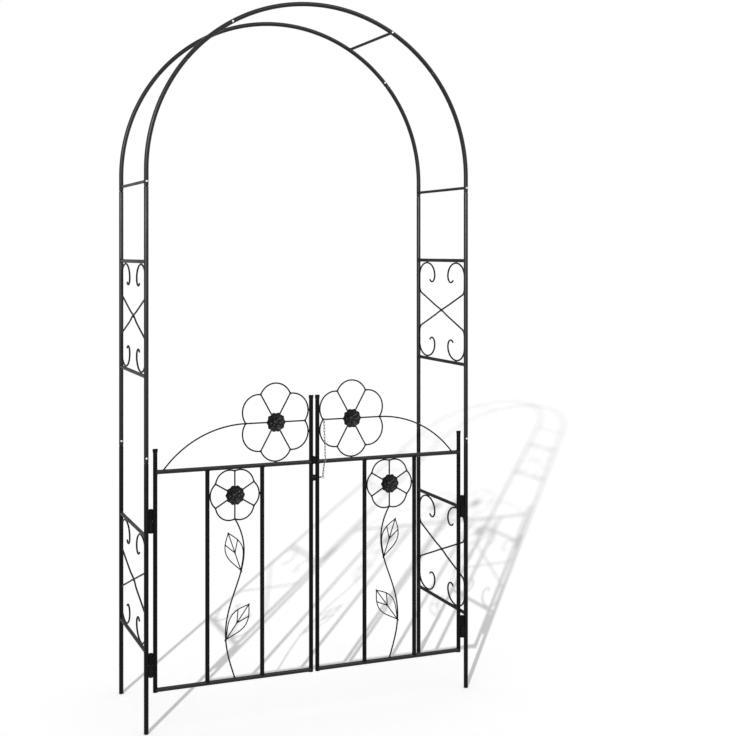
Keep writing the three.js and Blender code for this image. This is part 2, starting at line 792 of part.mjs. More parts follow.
function chain() {
  const ringX = largeFlower.x - largeJunction + wireRadius + chainWire;
  const ringTop = largeFlower.z + wireRadius + seatGap + chainWire;
  const overlap = chainWire - chainBite / 2;
  const inFront = frontY - railRadius - chainFrontGap - chainHalfWidth - chainWire;
  const linkLowest = latchHeight + latchEyeRadius - latchEyeWire - latchEyeSlack - chainWire;
  const railReach = railRadius + chainHalfWidth;
  const corners = [
    new THREE.Vector3(ringX, wireY, ringTop - 2 * chainRingRadius + overlap),
    new THREE.Vector3(ringX, inFront, topRailHeight + railReach),
    new THREE.Vector3(latchEyeX, inFront, topRailHeight - railReach),
    new THREE.Vector3(latchEyeX, frontY, linkLowest + overlap),
  ];
  const route = new THREE.CurvePath();
  corners.slice(1).forEach((corner, i) => route.add(new THREE.LineCurve3(corners[i], corner)));
  const joints = route.getSpacedPoints(chainLinks);
  const links = joints.slice(1).map((joint, i) => chainLink(joints[i], joint, i % 2 === 1));
  const ring = new THREE.TorusGeometry(chainRingRadius, chainWire, linkSides, tubeSides);
  ring.rotateY(Math.PI / 2).translate(ringX, wireY, ringTop - chainRingRadius);
  return joined([ring, ...links]);
}

addPiece('left_keeper', keeper());
addPiece('left_stop_bead', stopBead());
addPiece('latch_pin', latchPin(), zinc);
addPiece('latch_chain', chain(), zinc);

for (const [side, sideName] of [[-1, 'left'], [1, 'right']]) {
  addPiece(`${sideName}_hinge_stile`, hingeStile(side));
  addPiece(`${sideName}_meeting_stile`, meetingStile(side));
  addPiece(`${sideName}_top_rail`, rail(side, topRailHeight));
  addPiece(`${sideName}_bottom_rail`, rail(side, bottomRailHeight));
  addPiece(`${sideName}_outer_bar`, uprightBar(side, leafMiddleX + barOffset));
  addPiece(`${sideName}_inner_bar`, uprightBar(side, leafMiddleX - barOffset));
  addPiece(`${sideName}_arc_wire`, arcWire(side));
  addPiece(`${sideName}_stem`, stem(side));
  addPiece(`${sideName}_large_flower`, joined(flowerWires(side, largeFlower, wireRadius)));
  addPiece(`${sideName}_large_rosette`, rosette(side, largeFlower, -seatGap), castSteel);
  const smallWires = flowerWires(side, smallFlower, wireRadius);
  addPiece(`${sideName}_small_flower`, joined([...smallWires, rosette(side, smallFlower, weldBite)]));
}

export default arch;
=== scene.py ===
# %% [markdown]
# # A garden arch with a two-leaf gate
# The arch is bent steel tube, bolted together at swaged joints and powder coated black. The packed
# model that loads first is a plain, faceted copy of it, which fixes every size and every joint. This
# lesson builds each piece again with round tubes, weld beads, pressed tube ends and cast petals, in
# the place that its plain solid holds, and gives each one a finish made of nodes. Sizes are in
# metres, and heights are above the ground.

# %% Load the frame
import math

import bpy
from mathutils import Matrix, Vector


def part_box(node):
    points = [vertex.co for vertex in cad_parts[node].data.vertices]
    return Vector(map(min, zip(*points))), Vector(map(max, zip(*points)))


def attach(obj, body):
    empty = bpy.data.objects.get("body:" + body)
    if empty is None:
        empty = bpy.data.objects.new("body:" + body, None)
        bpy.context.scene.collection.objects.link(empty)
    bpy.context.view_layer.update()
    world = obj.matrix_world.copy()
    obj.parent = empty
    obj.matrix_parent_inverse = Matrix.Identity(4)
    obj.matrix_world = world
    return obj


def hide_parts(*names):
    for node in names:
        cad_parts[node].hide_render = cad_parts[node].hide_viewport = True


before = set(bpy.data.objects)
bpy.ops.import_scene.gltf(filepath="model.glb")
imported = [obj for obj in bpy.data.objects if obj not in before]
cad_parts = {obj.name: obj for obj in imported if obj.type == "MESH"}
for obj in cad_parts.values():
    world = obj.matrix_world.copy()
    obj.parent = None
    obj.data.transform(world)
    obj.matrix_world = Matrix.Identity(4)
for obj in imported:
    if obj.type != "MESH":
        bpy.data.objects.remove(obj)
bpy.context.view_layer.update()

# %% [markdown]
# ## The camera
# The photograph was taken from about chest height, in front of the arch and to its left. A camera
# could be aimed by hand, but the posts give eight straight edges and the arch two circles, so its
# place was worked out from them. The lens is level, and the picture was cropped from a taller one, so
# the horizon isn't in the middle: the sensor shift does the same.

# %% Place the camera
PICTURE_SIDE = 736
FOCAL_PIXELS = 1264
HORIZON_ROW = 251.8
MIDDLE_COLUMN = 368.8
CAMERA_PLACE = Vector((-1.429, -4.151, 1.521))
CAMERA_TURN = math.radians(22.35)

camera_data = bpy.data.cameras.new("garden_camera")
camera_data.lens = camera_data.sensor_width * FOCAL_PIXELS / PICTURE_SIDE
camera_data.shift_x = 0.5 - MIDDLE_COLUMN / PICTURE_SIDE
camera_data.shift_y = HORIZON_ROW / PICTURE_SIDE - 0.5
camera = bpy.data.objects.new("garden_camera", camera_data)
camera.location = CAMERA_PLACE
camera.rotation_euler = (math.radians(90), 0, -CAMERA_TURN)
bpy.context.scene.collection.objects.link(camera)
bpy.context.scene.camera = camera
bpy.context.scene.view_settings.view_transform = "Standard"
print("lens:", round(camera_data.lens, 2), "mm, shift:", round(camera_data.shift_y, 4))

# %% [markdown]
# ## Floor, sky, sun and softbox
# A studio picture of a thin black object needs a pale floor that still takes the shadow. A brighter
# lamp would wash out the steel, so the lamps stay at a plain level. Instead the floor answers them
# with a second matt layer that only the camera's rays, reflections and clear materials meet, which
# makes the lit floor white and leaves the shadow grey. The sky is white for the same rays. One small,
# low sun from the front left throws the long, thin shadow. A softbox on the right draws a dull sheen
# along the rails and the cast petals. Light linking keeps it off the floor, where it would throw a
# second shadow.

# %% Helpers for node trees
def add_node(tree, kind, **values):
    """A node of that kind, with its settings and its unlinked inputs filled in."""
    node = tree.nodes.new(kind)
    for name, value in values.items():
        if hasattr(node, name):
            setattr(node, name, value)
        else:
            node.inputs[name.replace("_", " ")].default_value = value
    return node


def join(tree, *links):
    """Links, each written as a node, its output, the next node and its input."""
    for source, output, target, socket in links:
        tree.links.new(source.outputs[output], target.inputs[socket])


def seen_share(tree):
    """A node that gives one where the camera, a reflection or a clear material looks, or else nought."""
    path = add_node(tree, "ShaderNodeLightPath")
    first = add_node(tree, "ShaderNodeMath", operation="MAXIMUM")
    both = add_node(tree, "ShaderNodeMath", operation="MAXIMUM")
    join(tree,
         (path, "Is Camera Ray", first, 0),
         (path, "Is Glossy Ray", first, 1),
         (first, 0, both, 0),
         (path, "Is Transmission Ray", both, 1))
    return both


print("helpers for nodes are ready")

# %% Make the sky
SKY_LIGHT = 0.31
WHITE = (1.0, 1.0, 1.0, 1.0)

sky = bpy.data.worlds.new("studio_sky")
sky.use_nodes = True
sky_tree = sky.node_tree
sky_tree.nodes.clear()
sky_out = add_node(sky_tree, "ShaderNodeOutputWorld")
sky_glow = add_node(sky_tree, "ShaderNodeBackground", Color=WHITE)
sky_level = add_node(sky_tree, "ShaderNodeMapRange", To_Min=SKY_LIGHT, To_Max=1.0)
join(sky_tree,
     (seen_share(sky_tree), 0, sky_level, "Value"),
     (sky_level, "Result", sky_glow, "Strength"),
     (sky_glow, "Background", sky_out, "Surface"))
bpy.context.scene.world = sky
print("sky light:", SKY_LIGHT)

# %% Hang the sun
SUN_POWER = 2.7
SUN_WIDTH = math.radians(0.8)
SUN_WAY = Vector((0.56, 0.83, -0.277)).normalized()

sun_data = bpy.data.lights.new("low_sun", "SUN")
sun_data.energy = SUN_POWER
sun_data.angle = SUN_WIDTH
sun = bpy.data.objects.new("low_sun", sun_data)
sun.rotation_euler = SUN_WAY.to_track_quat("-Z", "Y").to_euler()
bpy.context.scene.collection.objects.link(sun)
print("sun:", SUN_POWER, "with its height in degrees:", round(math.degrees(math.asin(-SUN_WAY.z)), 1))

# %% Lay the floor
FLOOR_REACH = 150.0
FLOOR_COLOUR = (0.9, 0.9, 0.9, 1.0)
FLOOR_LIFT = WHITE
FLOOR_CORNERS = ((-1, -1), (1, -1), (1, 1), (-1, 1))

floor_mesh = bpy.data.meshes.new("studio_floor")
floor_mesh.from_pydata([(FLOOR_REACH * x, FLOOR_REACH * y, 0) for x, y in FLOOR_CORNERS], [], [(0, 1, 2, 3)])
floor = bpy.data.objects.new("studio_floor", floor_mesh)
bpy.context.scene.collection.objects.link(floor)
floor_finish = bpy.data.materials.new("pale_floor")
floor_finish.use_nodes = True
floor_tree = floor_finish.node_tree
floor_tree.nodes.clear()
floor_out = add_node(floor_tree, "ShaderNodeOutputMaterial")
floor_matt = add_node(floor_tree, "ShaderNodeBsdfDiffuse", Color=FLOOR_COLOUR)
floor_lift = add_node(floor_tree, "ShaderNodeBsdfDiffuse", Color=FLOOR_LIFT)
floor_seen = add_node(floor_tree, "ShaderNodeMixShader")
floor_sum = add_node(floor_tree, "ShaderNodeAddShader")
join(floor_tree,
     (seen_share(floor_tree), 0, floor_seen, "Fac"),
     (floor_lift, 0, floor_seen, 2),
     (floor_matt, 0, floor_sum, 0),
     (floor_seen, 0, floor_sum, 1),
     (floor_sum, 0, floor_out, "Surface"))
floor_mesh.materials.append(floor_finish)
print("floor reaches", FLOOR_REACH, "metres each way")

# %% Stand the softbox
BOX_SIZE = (2.2, 1.6)
BOX_RADIANCE = 6.0
BOX_PLACE = Vector((1.5, -3.4, 3.6))
BOX_AIM = Vector((0.0, -0.2, 0.8))

box_data = bpy.data.lights.new("right_softbox", "AREA")
box_data.shape = "RECTANGLE"
box_data.size, box_data.size_y = BOX_SIZE
box_data.energy = BOX_RADIANCE * math.pi * BOX_SIZE[0] * BOX_SIZE[1]
box = bpy.data.objects.new("right_softbox", box_data)
box.location = BOX_PLACE
box.rotation_euler = (BOX_AIM - BOX_PLACE).to_track_quat("-Z", "Y").to_euler()
kept_off = bpy.data.collections.new("kept_off_the_floor")
kept_off.objects.link(floor)
kept_off.collection_objects[0].light_linking.link_state = "EXCLUDE"
box.light_linking.receiver_collection = kept_off
bpy.context.scene.collection.objects.link(box)
print("softbox:", round(box_data.energy, 1), "watts from", round((BOX_AIM - BOX_PLACE).length, 2), "metres")

# %% [markdown]
# ## Powder coat
# Powder coat is baked plastic dust: satin, with a fine skin like orange peel, and never quite even.
# Two effects show on every coated piece, so each is a node group with its own inputs: the skin, which
# gives a height and a drift in gloss, and the wear, which finds outer edges and the places where dust
# settles. Each material sets its own values, and the shader itself stays in the material. The coat is
# the same on every tube, but the upper tubes and the rails get a brighter gloss as a painted highlight,
# and the bars, stiles and scrolls get a duller one as painted shade.

# %% Group: skin of baked powder
def new_group(name, inputs, outputs):
    """An empty shader group with named sockets for numbers, and its two end nodes."""
    group = bpy.data.node_groups.new(name, "ShaderNodeTree")
    for title, value in inputs.items():
        socket = group.interface.new_socket(name=title, in_out="INPUT", socket_type="NodeSocketFloat")
        socket.default_value = value
    for title in outputs:
        group.interface.new_socket(name=title, in_out="OUTPUT", socket_type="NodeSocketFloat")
    return group, group.nodes.new("NodeGroupInput"), group.nodes.new("NodeGroupOutput")


skin, skin_in, skin_out = new_group(
    "baked_powder_skin",
    {"Peel per metre": 260.0, "Drift per metre": 9.0, "Least roughness": 0.36, "Most roughness": 0.5},
    ("Height", "Roughness"))
skin_place = add_node(skin, "ShaderNodeTexCoord")
skin_peel = add_node(skin, "ShaderNodeTexNoise", Detail=3.0, Roughness=0.55)
skin_drift = add_node(skin, "ShaderNodeTexNoise", Detail=4.0, Roughness=0.6)
skin_level = add_node(skin, "ShaderNodeMapRange", From_Min=0.3, From_Max=0.7)
join(skin,
     (skin_place, "Object", skin_peel, "Vector"),
     (skin_place, "Object", skin_drift, "Vector"),
     (skin_in, "Peel per metre", skin_peel, "Scale"),
     (skin_in, "Drift per metre", skin_drift, "Scale"),
     (skin_drift, "Fac", skin_level, "Value"),
     (skin_in, "Least roughness", skin_level, "To Min"),
     (skin_in, "Most roughness", skin_level, "To Max"),
     (skin_peel, "Fac", skin_out, "Height"),
     (skin_level, "Result", skin_out, "Roughness"))
print("group:", skin.name, "with", len(skin.nodes), "nodes")

# %% Group: rubbed edges and settled dust
wear, wear_in, wear_out = new_group(
    "edge_wear_and_dust",
    {"Edge start": 0.6, "Edge end": 0.72, "Patches per metre": 120.0, "Dust share": 0.3},
    ("Edge", "Dust"))
wear_shape = add_node(wear, "ShaderNodeNewGeometry")
wear_place = add_node(wear, "ShaderNodeTexCoord")
wear_patches = add_node(wear, "ShaderNodeTexNoise", Detail=5.0, Roughness=0.65)
wear_edge = add_node(wear, "ShaderNodeMapRange")
wear_broken = add_node(wear, "ShaderNodeMath", operation="MULTIPLY")
wear_up = add_node(wear, "ShaderNodeSeparateXYZ")
wear_flat = add_node(wear, "ShaderNodeMapRange", From_Min=0.35, From_Max=1.0)
wear_dust = add_node(wear, "ShaderNodeMath", operation="MULTIPLY")
wear_thin = add_node(wear, "ShaderNodeMath", operation="MULTIPLY")
join(wear,
     (wear_shape, "Pointiness", wear_edge, "Value"),
     (wear_in, "Edge start", wear_edge, "From Min"),
     (wear_in, "Edge end", wear_edge, "From Max"),
     (wear_place, "Object", wear_patches, "Vector"),
     (wear_in, "Patches per metre", wear_patches, "Scale"),
     (wear_edge, "Result", wear_broken, 0),
     (wear_patches, "Fac", wear_broken, 1),
     (wear_broken, 0, wear_out, "Edge"),
     (wear_place, "Normal", wear_up, "Vector"),
     (wear_up, "Z", wear_flat, "Value"),
     (wear_flat, "Result", wear_dust, 0),
     (wear_patches, "Fac", wear_dust, 1),
     (wear_dust, 0, wear_thin, 0),
     (wear_in, "Dust share", wear_thin, 1),
     (wear_thin, 0, wear_out, "Dust"))
print("group:", wear.name, "with", len(wear.nodes), "nodes")

# %% Colour between two colours
# A Mix node holds sockets of every kind at once, and these are the ones for colours.
MIX_COLOURS = (6, 7)
MIX_RESULT = 2


def mixed_colour(tree, share, *colours):
    """The output of a mix of two colours by a mask; each is a colour or another output."""
    mix = add_node(tree, "ShaderNodeMix", data_type="RGBA")
    tree.links.new(share, mix.inputs["Factor"])
    for place, colour in zip(MIX_COLOURS, colours):
        if isinstance(colour, tuple):
            mix.inputs[place].default_value = colour
        else:
            tree.links.new(colour, mix.inputs[place])
    return mix.outputs[MIX_RESULT]


print("sockets of a mix of colours:", MIX_COLOURS, MIX_RESULT)

# %% Coated steel, from the two groups
BLACK = (0.0035, 0.0035, 0.0038, 1.0)
EDGE_BLACK = (0.03, 0.03, 0.032, 1.0)
DUST_COLOUR = (0.2, 0.19, 0.17, 1.0)


def coated_steel(name, gloss, roughness, peel_depth, colour=BLACK, edge_colour=EDGE_BLACK, **wear_values):
    """Black powder coat on steel, with its skin, its edges and a film of dust."""
    material = bpy.data.materials.new(name)
    material.use_nodes = True
    tree = material.node_tree
    shader = tree.nodes["Principled BSDF"]
    shader.inputs["Specular IOR Level"].default_value = gloss
    skin_node = add_node(tree, "ShaderNodeGroup", node_tree=skin, Least_roughness=roughness[0],
                         Most_roughness=roughness[1])
    wear_node = add_node(tree, "ShaderNodeGroup", node_tree=wear, **wear_values)
    bump = add_node(tree, "ShaderNodeBump", name="peel", Strength=1.0, Distance=peel_depth)
    edged = mixed_colour(tree, wear_node.outputs["Edge"], colour, edge_colour)
    dusted = mixed_colour(tree, wear_node.outputs["Dust"], edged, DUST_COLOUR)
    tree.links.new(dusted, shader.inputs["Base Color"])
    join(tree,
         (skin_node, "Roughness", shader, "Roughness"),
         (skin_node, "Height", bump, "Height"),
         (bump, "Normal", shader, "Normal"))
    return material


tube_coat = coated_steel("black_powder_coat", gloss=0.09, roughness=(0.3, 0.4), peel_depth=0.00003,
                         Dust_share=0.07)
# A second copy of the same coat, its gloss raised as a painted highlight on the upper tubes and rails.
painted_highlight_coat = coated_steel("powder_coat_with_painted_highlight", gloss=0.26, roughness=(0.3, 0.4), peel_depth=0.00003,
                           Dust_share=0.05)
# A third copy of the same coat, its gloss lowered as painted shade on the bars, stiles and scrolls.
painted_shade_coat = coated_steel("powder_coat_with_painted_shade", gloss=0.05, roughness=(0.34, 0.46), peel_depth=0.00004,
                         Dust_share=0.08)
weld_coat = coated_steel("coated_weld_bead", gloss=0.16, roughness=(0.36, 0.5), peel_depth=0.0001,
                         Dust_share=0.12)
print("coats:", tube_coat.name, painted_highlight_coat.name, painted_shade_coat.name, weld_coat.name)

# %% [markdown]
# ## Rough casting
# The flowers' middles are cast, not bent, and the sand leaves a grain under the coat: small pits and
# a dull, uneven gloss. The same two groups serve, and a cell pattern in the material itself adds pits.

# %% Coat on a sand casting
CAST_BLACK = (0.0025, 0.0025, 0.0027, 1.0)
CAST_EDGE = (0.035, 0.035, 0.037, 1.0)

cast_coat = coated_steel("coated_sand_casting", gloss=0.24, roughness=(0.26, 0.36), peel_depth=0.00005,
                         colour=CAST_BLACK, edge_colour=CAST_EDGE, Edge_start=0.52, Edge_end=0.6,
                         Dust_share=0.05)
cast_tree = cast_coat.node_tree
cast_place = add_node(cast_tree, "ShaderNodeTexCoord")
cast_pits = add_node(cast_tree, "ShaderNodeTexVoronoi", Scale=600.0)
cast_rough = add_node(cast_tree, "ShaderNodeBump", Strength=0.25, Distance=0.0001)
join(cast_tree,
     (cast_place, "Object", cast_pits, "Vector"),
     (cast_pits, "Distance", cast_rough, "Height"),
     (cast_tree.nodes["peel"], "Normal", cast_rough, "Normal"),
     (cast_rough, "Normal", cast_tree.nodes["Principled BSDF"], "Normal"))
print("casting:", cast_coat.name)

# %% [markdown]
# ## Zinc plate
# Screws, pin and chain are plated after they are made, so they are the only bright pieces. Zinc
# plating is a blue-grey metal with faint spangles and a drift in its gloss. The pin and its chain are
# given a much darker grey than the screws, so one recipe is called twice, with different greys.

# %% Bright and handled zinc
def zinc_plate(name, dull, bright, roughness):
    """Plated steel with spangles, between two greys."""
    material = bpy.data.materials.new(name)
    material.use_nodes = True
    tree = material.node_tree
    shader = tree.nodes["Principled BSDF"]
    shader.inputs["Metallic"].default_value = 1.0
    place = add_node(tree, "ShaderNodeTexCoord")
    spangle = add_node(tree, "ShaderNodeTexVoronoi", Scale=900.0)
    cloud = add_node(tree, "ShaderNodeTexNoise", Scale=260.0, Detail=4.0)
    gloss = add_node(tree, "ShaderNodeMapRange", To_Min=roughness[0], To_Max=roughness[1])
    bump = add_node(tree, "ShaderNodeBump", Strength=0.4, Distance=0.00005)
    tree.links.new(mixed_colour(tree, cloud.outputs["Fac"], dull, bright), shader.inputs["Base Color"])
    join(tree,
         (place, "Object", spangle, "Vector"),
         (place, "Object", cloud, "Vector"),
         (spangle, "Distance", gloss, "Value"),
         (gloss, "Result", shader, "Roughness"),
         (spangle, "Distance", bump, "Height"),
         (bump, "Normal", shader, "Normal"))
    return material


zinc_coat = zinc_plate("bright_zinc_plate", (0.62, 0.64, 0.67, 1.0), (0.8, 0.81, 0.82, 1.0), (0.2, 0.42))
# The pin and chain take a much darker grey than the screws.
chain_coat = zinc_plate("dark_grey_zinc", (0.09, 0.092, 0.095, 1.0), (0.2, 0.202, 0.205, 1.0), (0.3, 0.5))
print("plates:", zinc_coat.name, chain_coat.name)

# %% [markdown]
# ## How a tube becomes a mesh
# Nearly every piece here is round: a tube, a bar or a wire. Blender's curves could bevel a round
# profile along a path, but they can't cut an end to fit another tube or ripple a weld bead. So a
# piece is a stack of rings of points, with faces from each ring to the next, and every helper below
# only decides where its rings go.

# %% Gather rings into a shape
class Shape:
    """The points and faces of one piece while it is made, and the number of each face's finish."""

    def __init__(self):
        self.points = []
        self.faces = []
        self.finishes = []

    def add_rings(self, rings, closed=False, finish=0):
        """Faces from each ring to the next, with both ends closed unless the rings make a loop."""
        first = len(self.points)
        sides = len(rings[0])
        last = len(rings) - 1
        self.points += [point for ring in rings for point in ring]
        for i in range(len(rings) if closed else last):
            here = first + i * sides
            there = first + (i + 1) % len(rings) * sides
            for k in range(sides):
                after = (k + 1) % sides
                self.faces.append((here + k, here + after, there + after, there + k))
        if not closed:
            self.faces.append(tuple(first + k for k in reversed(range(sides))))
            self.faces.append(tuple(first + last * sides + k for k in range(sides)))
        self.finishes += [finish] * (len(self.faces) - len(self.finishes))


print("a shape starts with", len(Shape().points), "points")

# %% Turn a shape into a piece
SHARP_EDGE = math.radians(38)
PLAIN = (tube_coat, weld_coat)
# The raised gloss is a painted highlight, and the lowered gloss is painted shade.
PAINTED_HIGHLIGHT = (painted_highlight_coat, weld_coat)
PAINTED_SHADE = (painted_shade_coat, weld_coat)
WELD = 1
made = []


def build(name, shape, body, slot, *nodes, finishes=PLAIN):
    """A shape becomes an object that rides on a body and stands for its plain solids."""
    mesh = bpy.data.meshes.new(name)
    mesh.from_pydata(shape.points, [], shape.faces)
    for finish in finishes:
        mesh.materials.append(finish)
    mesh.polygons.foreach_set("material_index", shape.finishes)
    mesh.polygons.foreach_set("use_smooth", [True] * len(shape.faces))
    mesh.set_sharp_from_angle(angle=SHARP_EDGE)
    mesh.update()
    piece = bpy.data.objects.new(name, mesh)
    bpy.context.scene.collection.objects.link(piece)
    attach(piece, body)
    if nodes:
        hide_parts(*nodes)
    made.append(piece)


print("edges sharper than", round(math.degrees(SHARP_EDGE)), "degrees stay crisp")

# %% Rings along a path
ALONG_X = Vector((1, 0, 0))
ALONG_Y = Vector((0, 1, 0))
ALONG_Z = Vector((0, 0, 1))


def even_turns(count):
    """Angles at even steps, once round."""
    return [math.tau * k / count for k in range(count)]


def headings(path, closed=False):
    """The direction of a path at each of its points."""
    result = []
    for i, point in enumerate(path):
        back = path[i - 1] if closed or i > 0 else point
        ahead = path[(i + 1) % len(path)] if closed or i < len(path) - 1 else point
        result.append(((point - back).normalized() + (ahead - point).normalized()).normalized())
    return result


def skin_path(shape, path, across, radius, sides, closed=False, finish=0):
    """Rings along a path; across is square to its bend, and radius is one size or one for each point."""
    acrosses = across if isinstance(across, list) else [across] * len(path)
    radii = radius if isinstance(radius, list) else [radius] * len(path)
    turns = even_turns(sides)
    rings = []
    for point, heading, square, size in zip(path, headings(path, closed), acrosses, radii):
        side = square.cross(heading).normalized()
        up = heading.cross(side)
        rings.append([point + size * (side * math.cos(turn) + up * math.sin(turn)) for turn in turns])
    shape.add_rings(rings, closed, finish)


print("rings can follow a path")

# %% Upright rings
def upright(shape, x, y, profile, sides, closed=False):
    """Level rings one above another; each entry is a height and a radius, or a height and two radii."""
    turns = even_turns(sides)
    rings = []
    for height, *radii in profile:
        wide, thin = radii[0], radii[-1]
        rings.append([Vector((x + wide * math.cos(turn), y + thin * math.sin(turn), height))
                      for turn in turns])
    shape.add_rings(rings, closed)


print("rings can stand upright")

# %% Ends cut to the round of another tube
def slide_to_tube(point, way, tube):
    """A point moved along a direction until it lies on the near side of a round tube."""
    axis_point, axis, radius = tube
    offset = point - axis_point
    offset -= axis * offset.dot(axis)
    step = way - axis * way.dot(axis)
    towards = offset.dot(step)
    room = towards ** 2 - step.dot(step) * (offset.dot(offset) - radius ** 2)
    return point + way * ((-towards - math.sqrt(max(room, 0))) / step.dot(step))


def circle(centre, way, radius, sides):
    """A ring of points square to a direction, with the outward direction of each."""
    side = way.cross(ALONG_X if abs(way.x) < 0.5 else ALONG_Y).normalized()
    up = way.cross(side)
    outward = [side * math.cos(turn) + up * math.sin(turn) for turn in even_turns(sides)]
    return [centre + radius * direction for direction in outward], outward


def strut(shape, tubes, centre, way, radius, sides):
    """A straight bar between two tubes, with both ends cut to fit them."""
    ring, _ = circle(centre, way, radius, sides)
    start = [slide_to_tube(point, -way, tubes[0]) for point in ring]
    end = [slide_to_tube(point, way, tubes[1]) for point in ring]
    shape.add_rings([start, end])


print("ends can be cut to fit")

# %% [markdown]
# ## Weld beads
# The panels and the gate are welded before they are coated, and the bead shows as a small rippled
# ring where a bar meets a tube. A fillet could be faked in the material, but its shadow line is what
# the eye reads, so the bead is a thin rippled tube of its own that follows the cut end. Wires that
# only touch are held by a tack, a short lump of weld.

# %% Beads round an end and along a seam
BEAD = 0.0013
BEAD_SIDES = 6
BEAD_END = 0.4
RIPPLE_LENGTH = 0.0018
POINTS_PER_RIPPLE = 3
RIPPLES = (1.0, 1.12, 0.9)


def rippled(count):
    """Bead radii that swell once in each ripple."""
    return [BEAD * RIPPLES[k % POINTS_PER_RIPPLE] for k in range(count)]


def bead_ring(shape, tube, centre, way, radius):
    """A bead all round the end of a bar that points along way and meets a tube."""
    count = POINTS_PER_RIPPLE * round(math.tau * radius / RIPPLE_LENGTH)
    ring, outward = circle(centre, way, radius + BEAD / 4, count)
    path = [slide_to_tube(point, way, tube) for point in ring]
    skin_path(shape, path, outward, rippled(count), BEAD_SIDES, closed=True, finish=WELD)


def bead_line(shape, start, length):
    """A bead that runs straight up and tapers at both ends."""
    end = start + ALONG_Z * length
    count = POINTS_PER_RIPPLE * round((end - start).length / RIPPLE_LENGTH)
    path = [start.lerp(end, k / (count - 1)) for k in range(count)]
    radii = rippled(count)
    radii[0] *= BEAD_END
    radii[-1] *= BEAD_END
    skin_path(shape, path, ALONG_Y, radii, BEAD_SIDES, finish=WELD)


def welded_strut(shape, tubes, centre, way, radius, sides):
    """A bar between two tubes, with a bead round each end."""
    strut(shape, tubes, centre, way, radius, sides)
    for tube, outward in zip(tubes, (-way, way)):
        bead_ring(shape, tube, centre, outward, radius)


print("bead radius:", BEAD)

# %% Tacks
TACK_SIDES = 8
TACK_SWELL = (0.35, 0.8, 1.0, 0.92, 0.7, 0.3)


def tack(shape, place, way, across, size=0.0022, length=0.007):
    """A short lump of weld where a wire touches something."""
    last = len(TACK_SWELL) - 1
    path = [place + way * (length * (k / last - 0.5)) for k in range(last + 1)]
    skin_path(shape, path, across, [size * share for share in TACK_SWELL], TACK_SIDES, finish=WELD)


print("a tack has", len(TACK_SWELL), "rings")

# %% [markdown]
# ## Posts and arch
# Each side of an arch is three tubes: a lower post, an upper post and a bent shoulder, and one crown
# joins the shoulders at the top. The end of each tube is squeezed down to a spigot, and the next tube
# drops over it. The squeezed cone shows as a fine dark line at each joint.

# %% Middle of a plain solid
def middle_of(node):
    """The middle of a plain solid's box, as x, y and z."""
    return [(low + high) / 2 for low, high in zip(*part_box(node))]


print("middle of a post:", [round(place, 4) for place in middle_of("front_right_lower_post")])

# %% Straight posts
TUBE = 0.0075
SPIGOT = 0.0055
SPIGOT_SHOWN = 0.01
SWAGE = 0.003
LIP = 0.0004
TUBE_SIDES = 28
SIDES = ((-1, "left"), (1, "right"))
FACES = ((-1, "front"), (1, "back"))

POST_X, FRONT_Y, _ = middle_of("front_right_lower_post")
POST_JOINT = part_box("front_right_upper_post")[0].z
SHOULDER_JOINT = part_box("front_right_shoulder")[0].z
FOOT = [(0, TUBE - 3 * LIP), (LIP / 2, TUBE - LIP), (2 * LIP, TUBE)]
RIM = [(POST_JOINT, TUBE - LIP), (POST_JOINT + LIP, TUBE)]


def swaged_top(joint):
    """The cone and the spigot at the top of a tube, as heights and radii."""
    return [(joint - SWAGE - LIP, TUBE), (joint - SWAGE, TUBE - LIP / 4),
            (joint, SPIGOT), (joint + SPIGOT_SHOWN, SPIGOT)]


for side, side_name in SIDES:
    for face, face_name in FACES:
        # The upper posts take the raised gloss of the painted highlight, and the lower posts take the plain
        # coat.
        for level_name, start, joint, finishes in (("lower", FOOT, POST_JOINT, PLAIN),
                                                   ("upper", RIM, SHOULDER_JOINT, PAINTED_HIGHLIGHT)):
            part = f"{face_name}_{side_name}_{level_name}"
            post = Shape()
            upright(post, side * POST_X, -face * FRONT_Y, start + swaged_top(joint), TUBE_SIDES)
            build(f"{part}_tube", post, "arch_frame", "powder_coat", f"{part}_post", finishes=finishes)
print("posts stand at x", round(POST_X, 4), "and y", round(FRONT_Y, 4))

# %% [markdown]
# ## Bent tubes
# A bending machine gives one even radius, so the shoulders and the crown share a circle. The path is
# that circle in short steps, which looks round even in the near view.

# %% Places on the arch
BEND_HEIGHT = 1.78
BEND_STEP = math.radians(1.6)


def arch_point(angle, y):
    """A place on the arch's circle."""
    return Vector((POST_X * math.cos(angle), y, BEND_HEIGHT + POST_X * math.sin(angle)))


def bend(start, end, y):
    """Places along the arch from one angle to another."""
    steps = round(abs(end - start) / BEND_STEP)
    return [arch_point(start + (end - start) * i / steps, y) for i in range(steps + 1)]


print("height of the arch:", round(BEND_HEIGHT + POST_X + TUBE, 4))

# %% Shoulders and crowns
CROWN_JOINT = math.radians(39.9)
LIP_TURN = LIP / POST_X
SWAGE_TURN = SWAGE / POST_X
SPIGOT_TURN = 3 * SWAGE_TURN

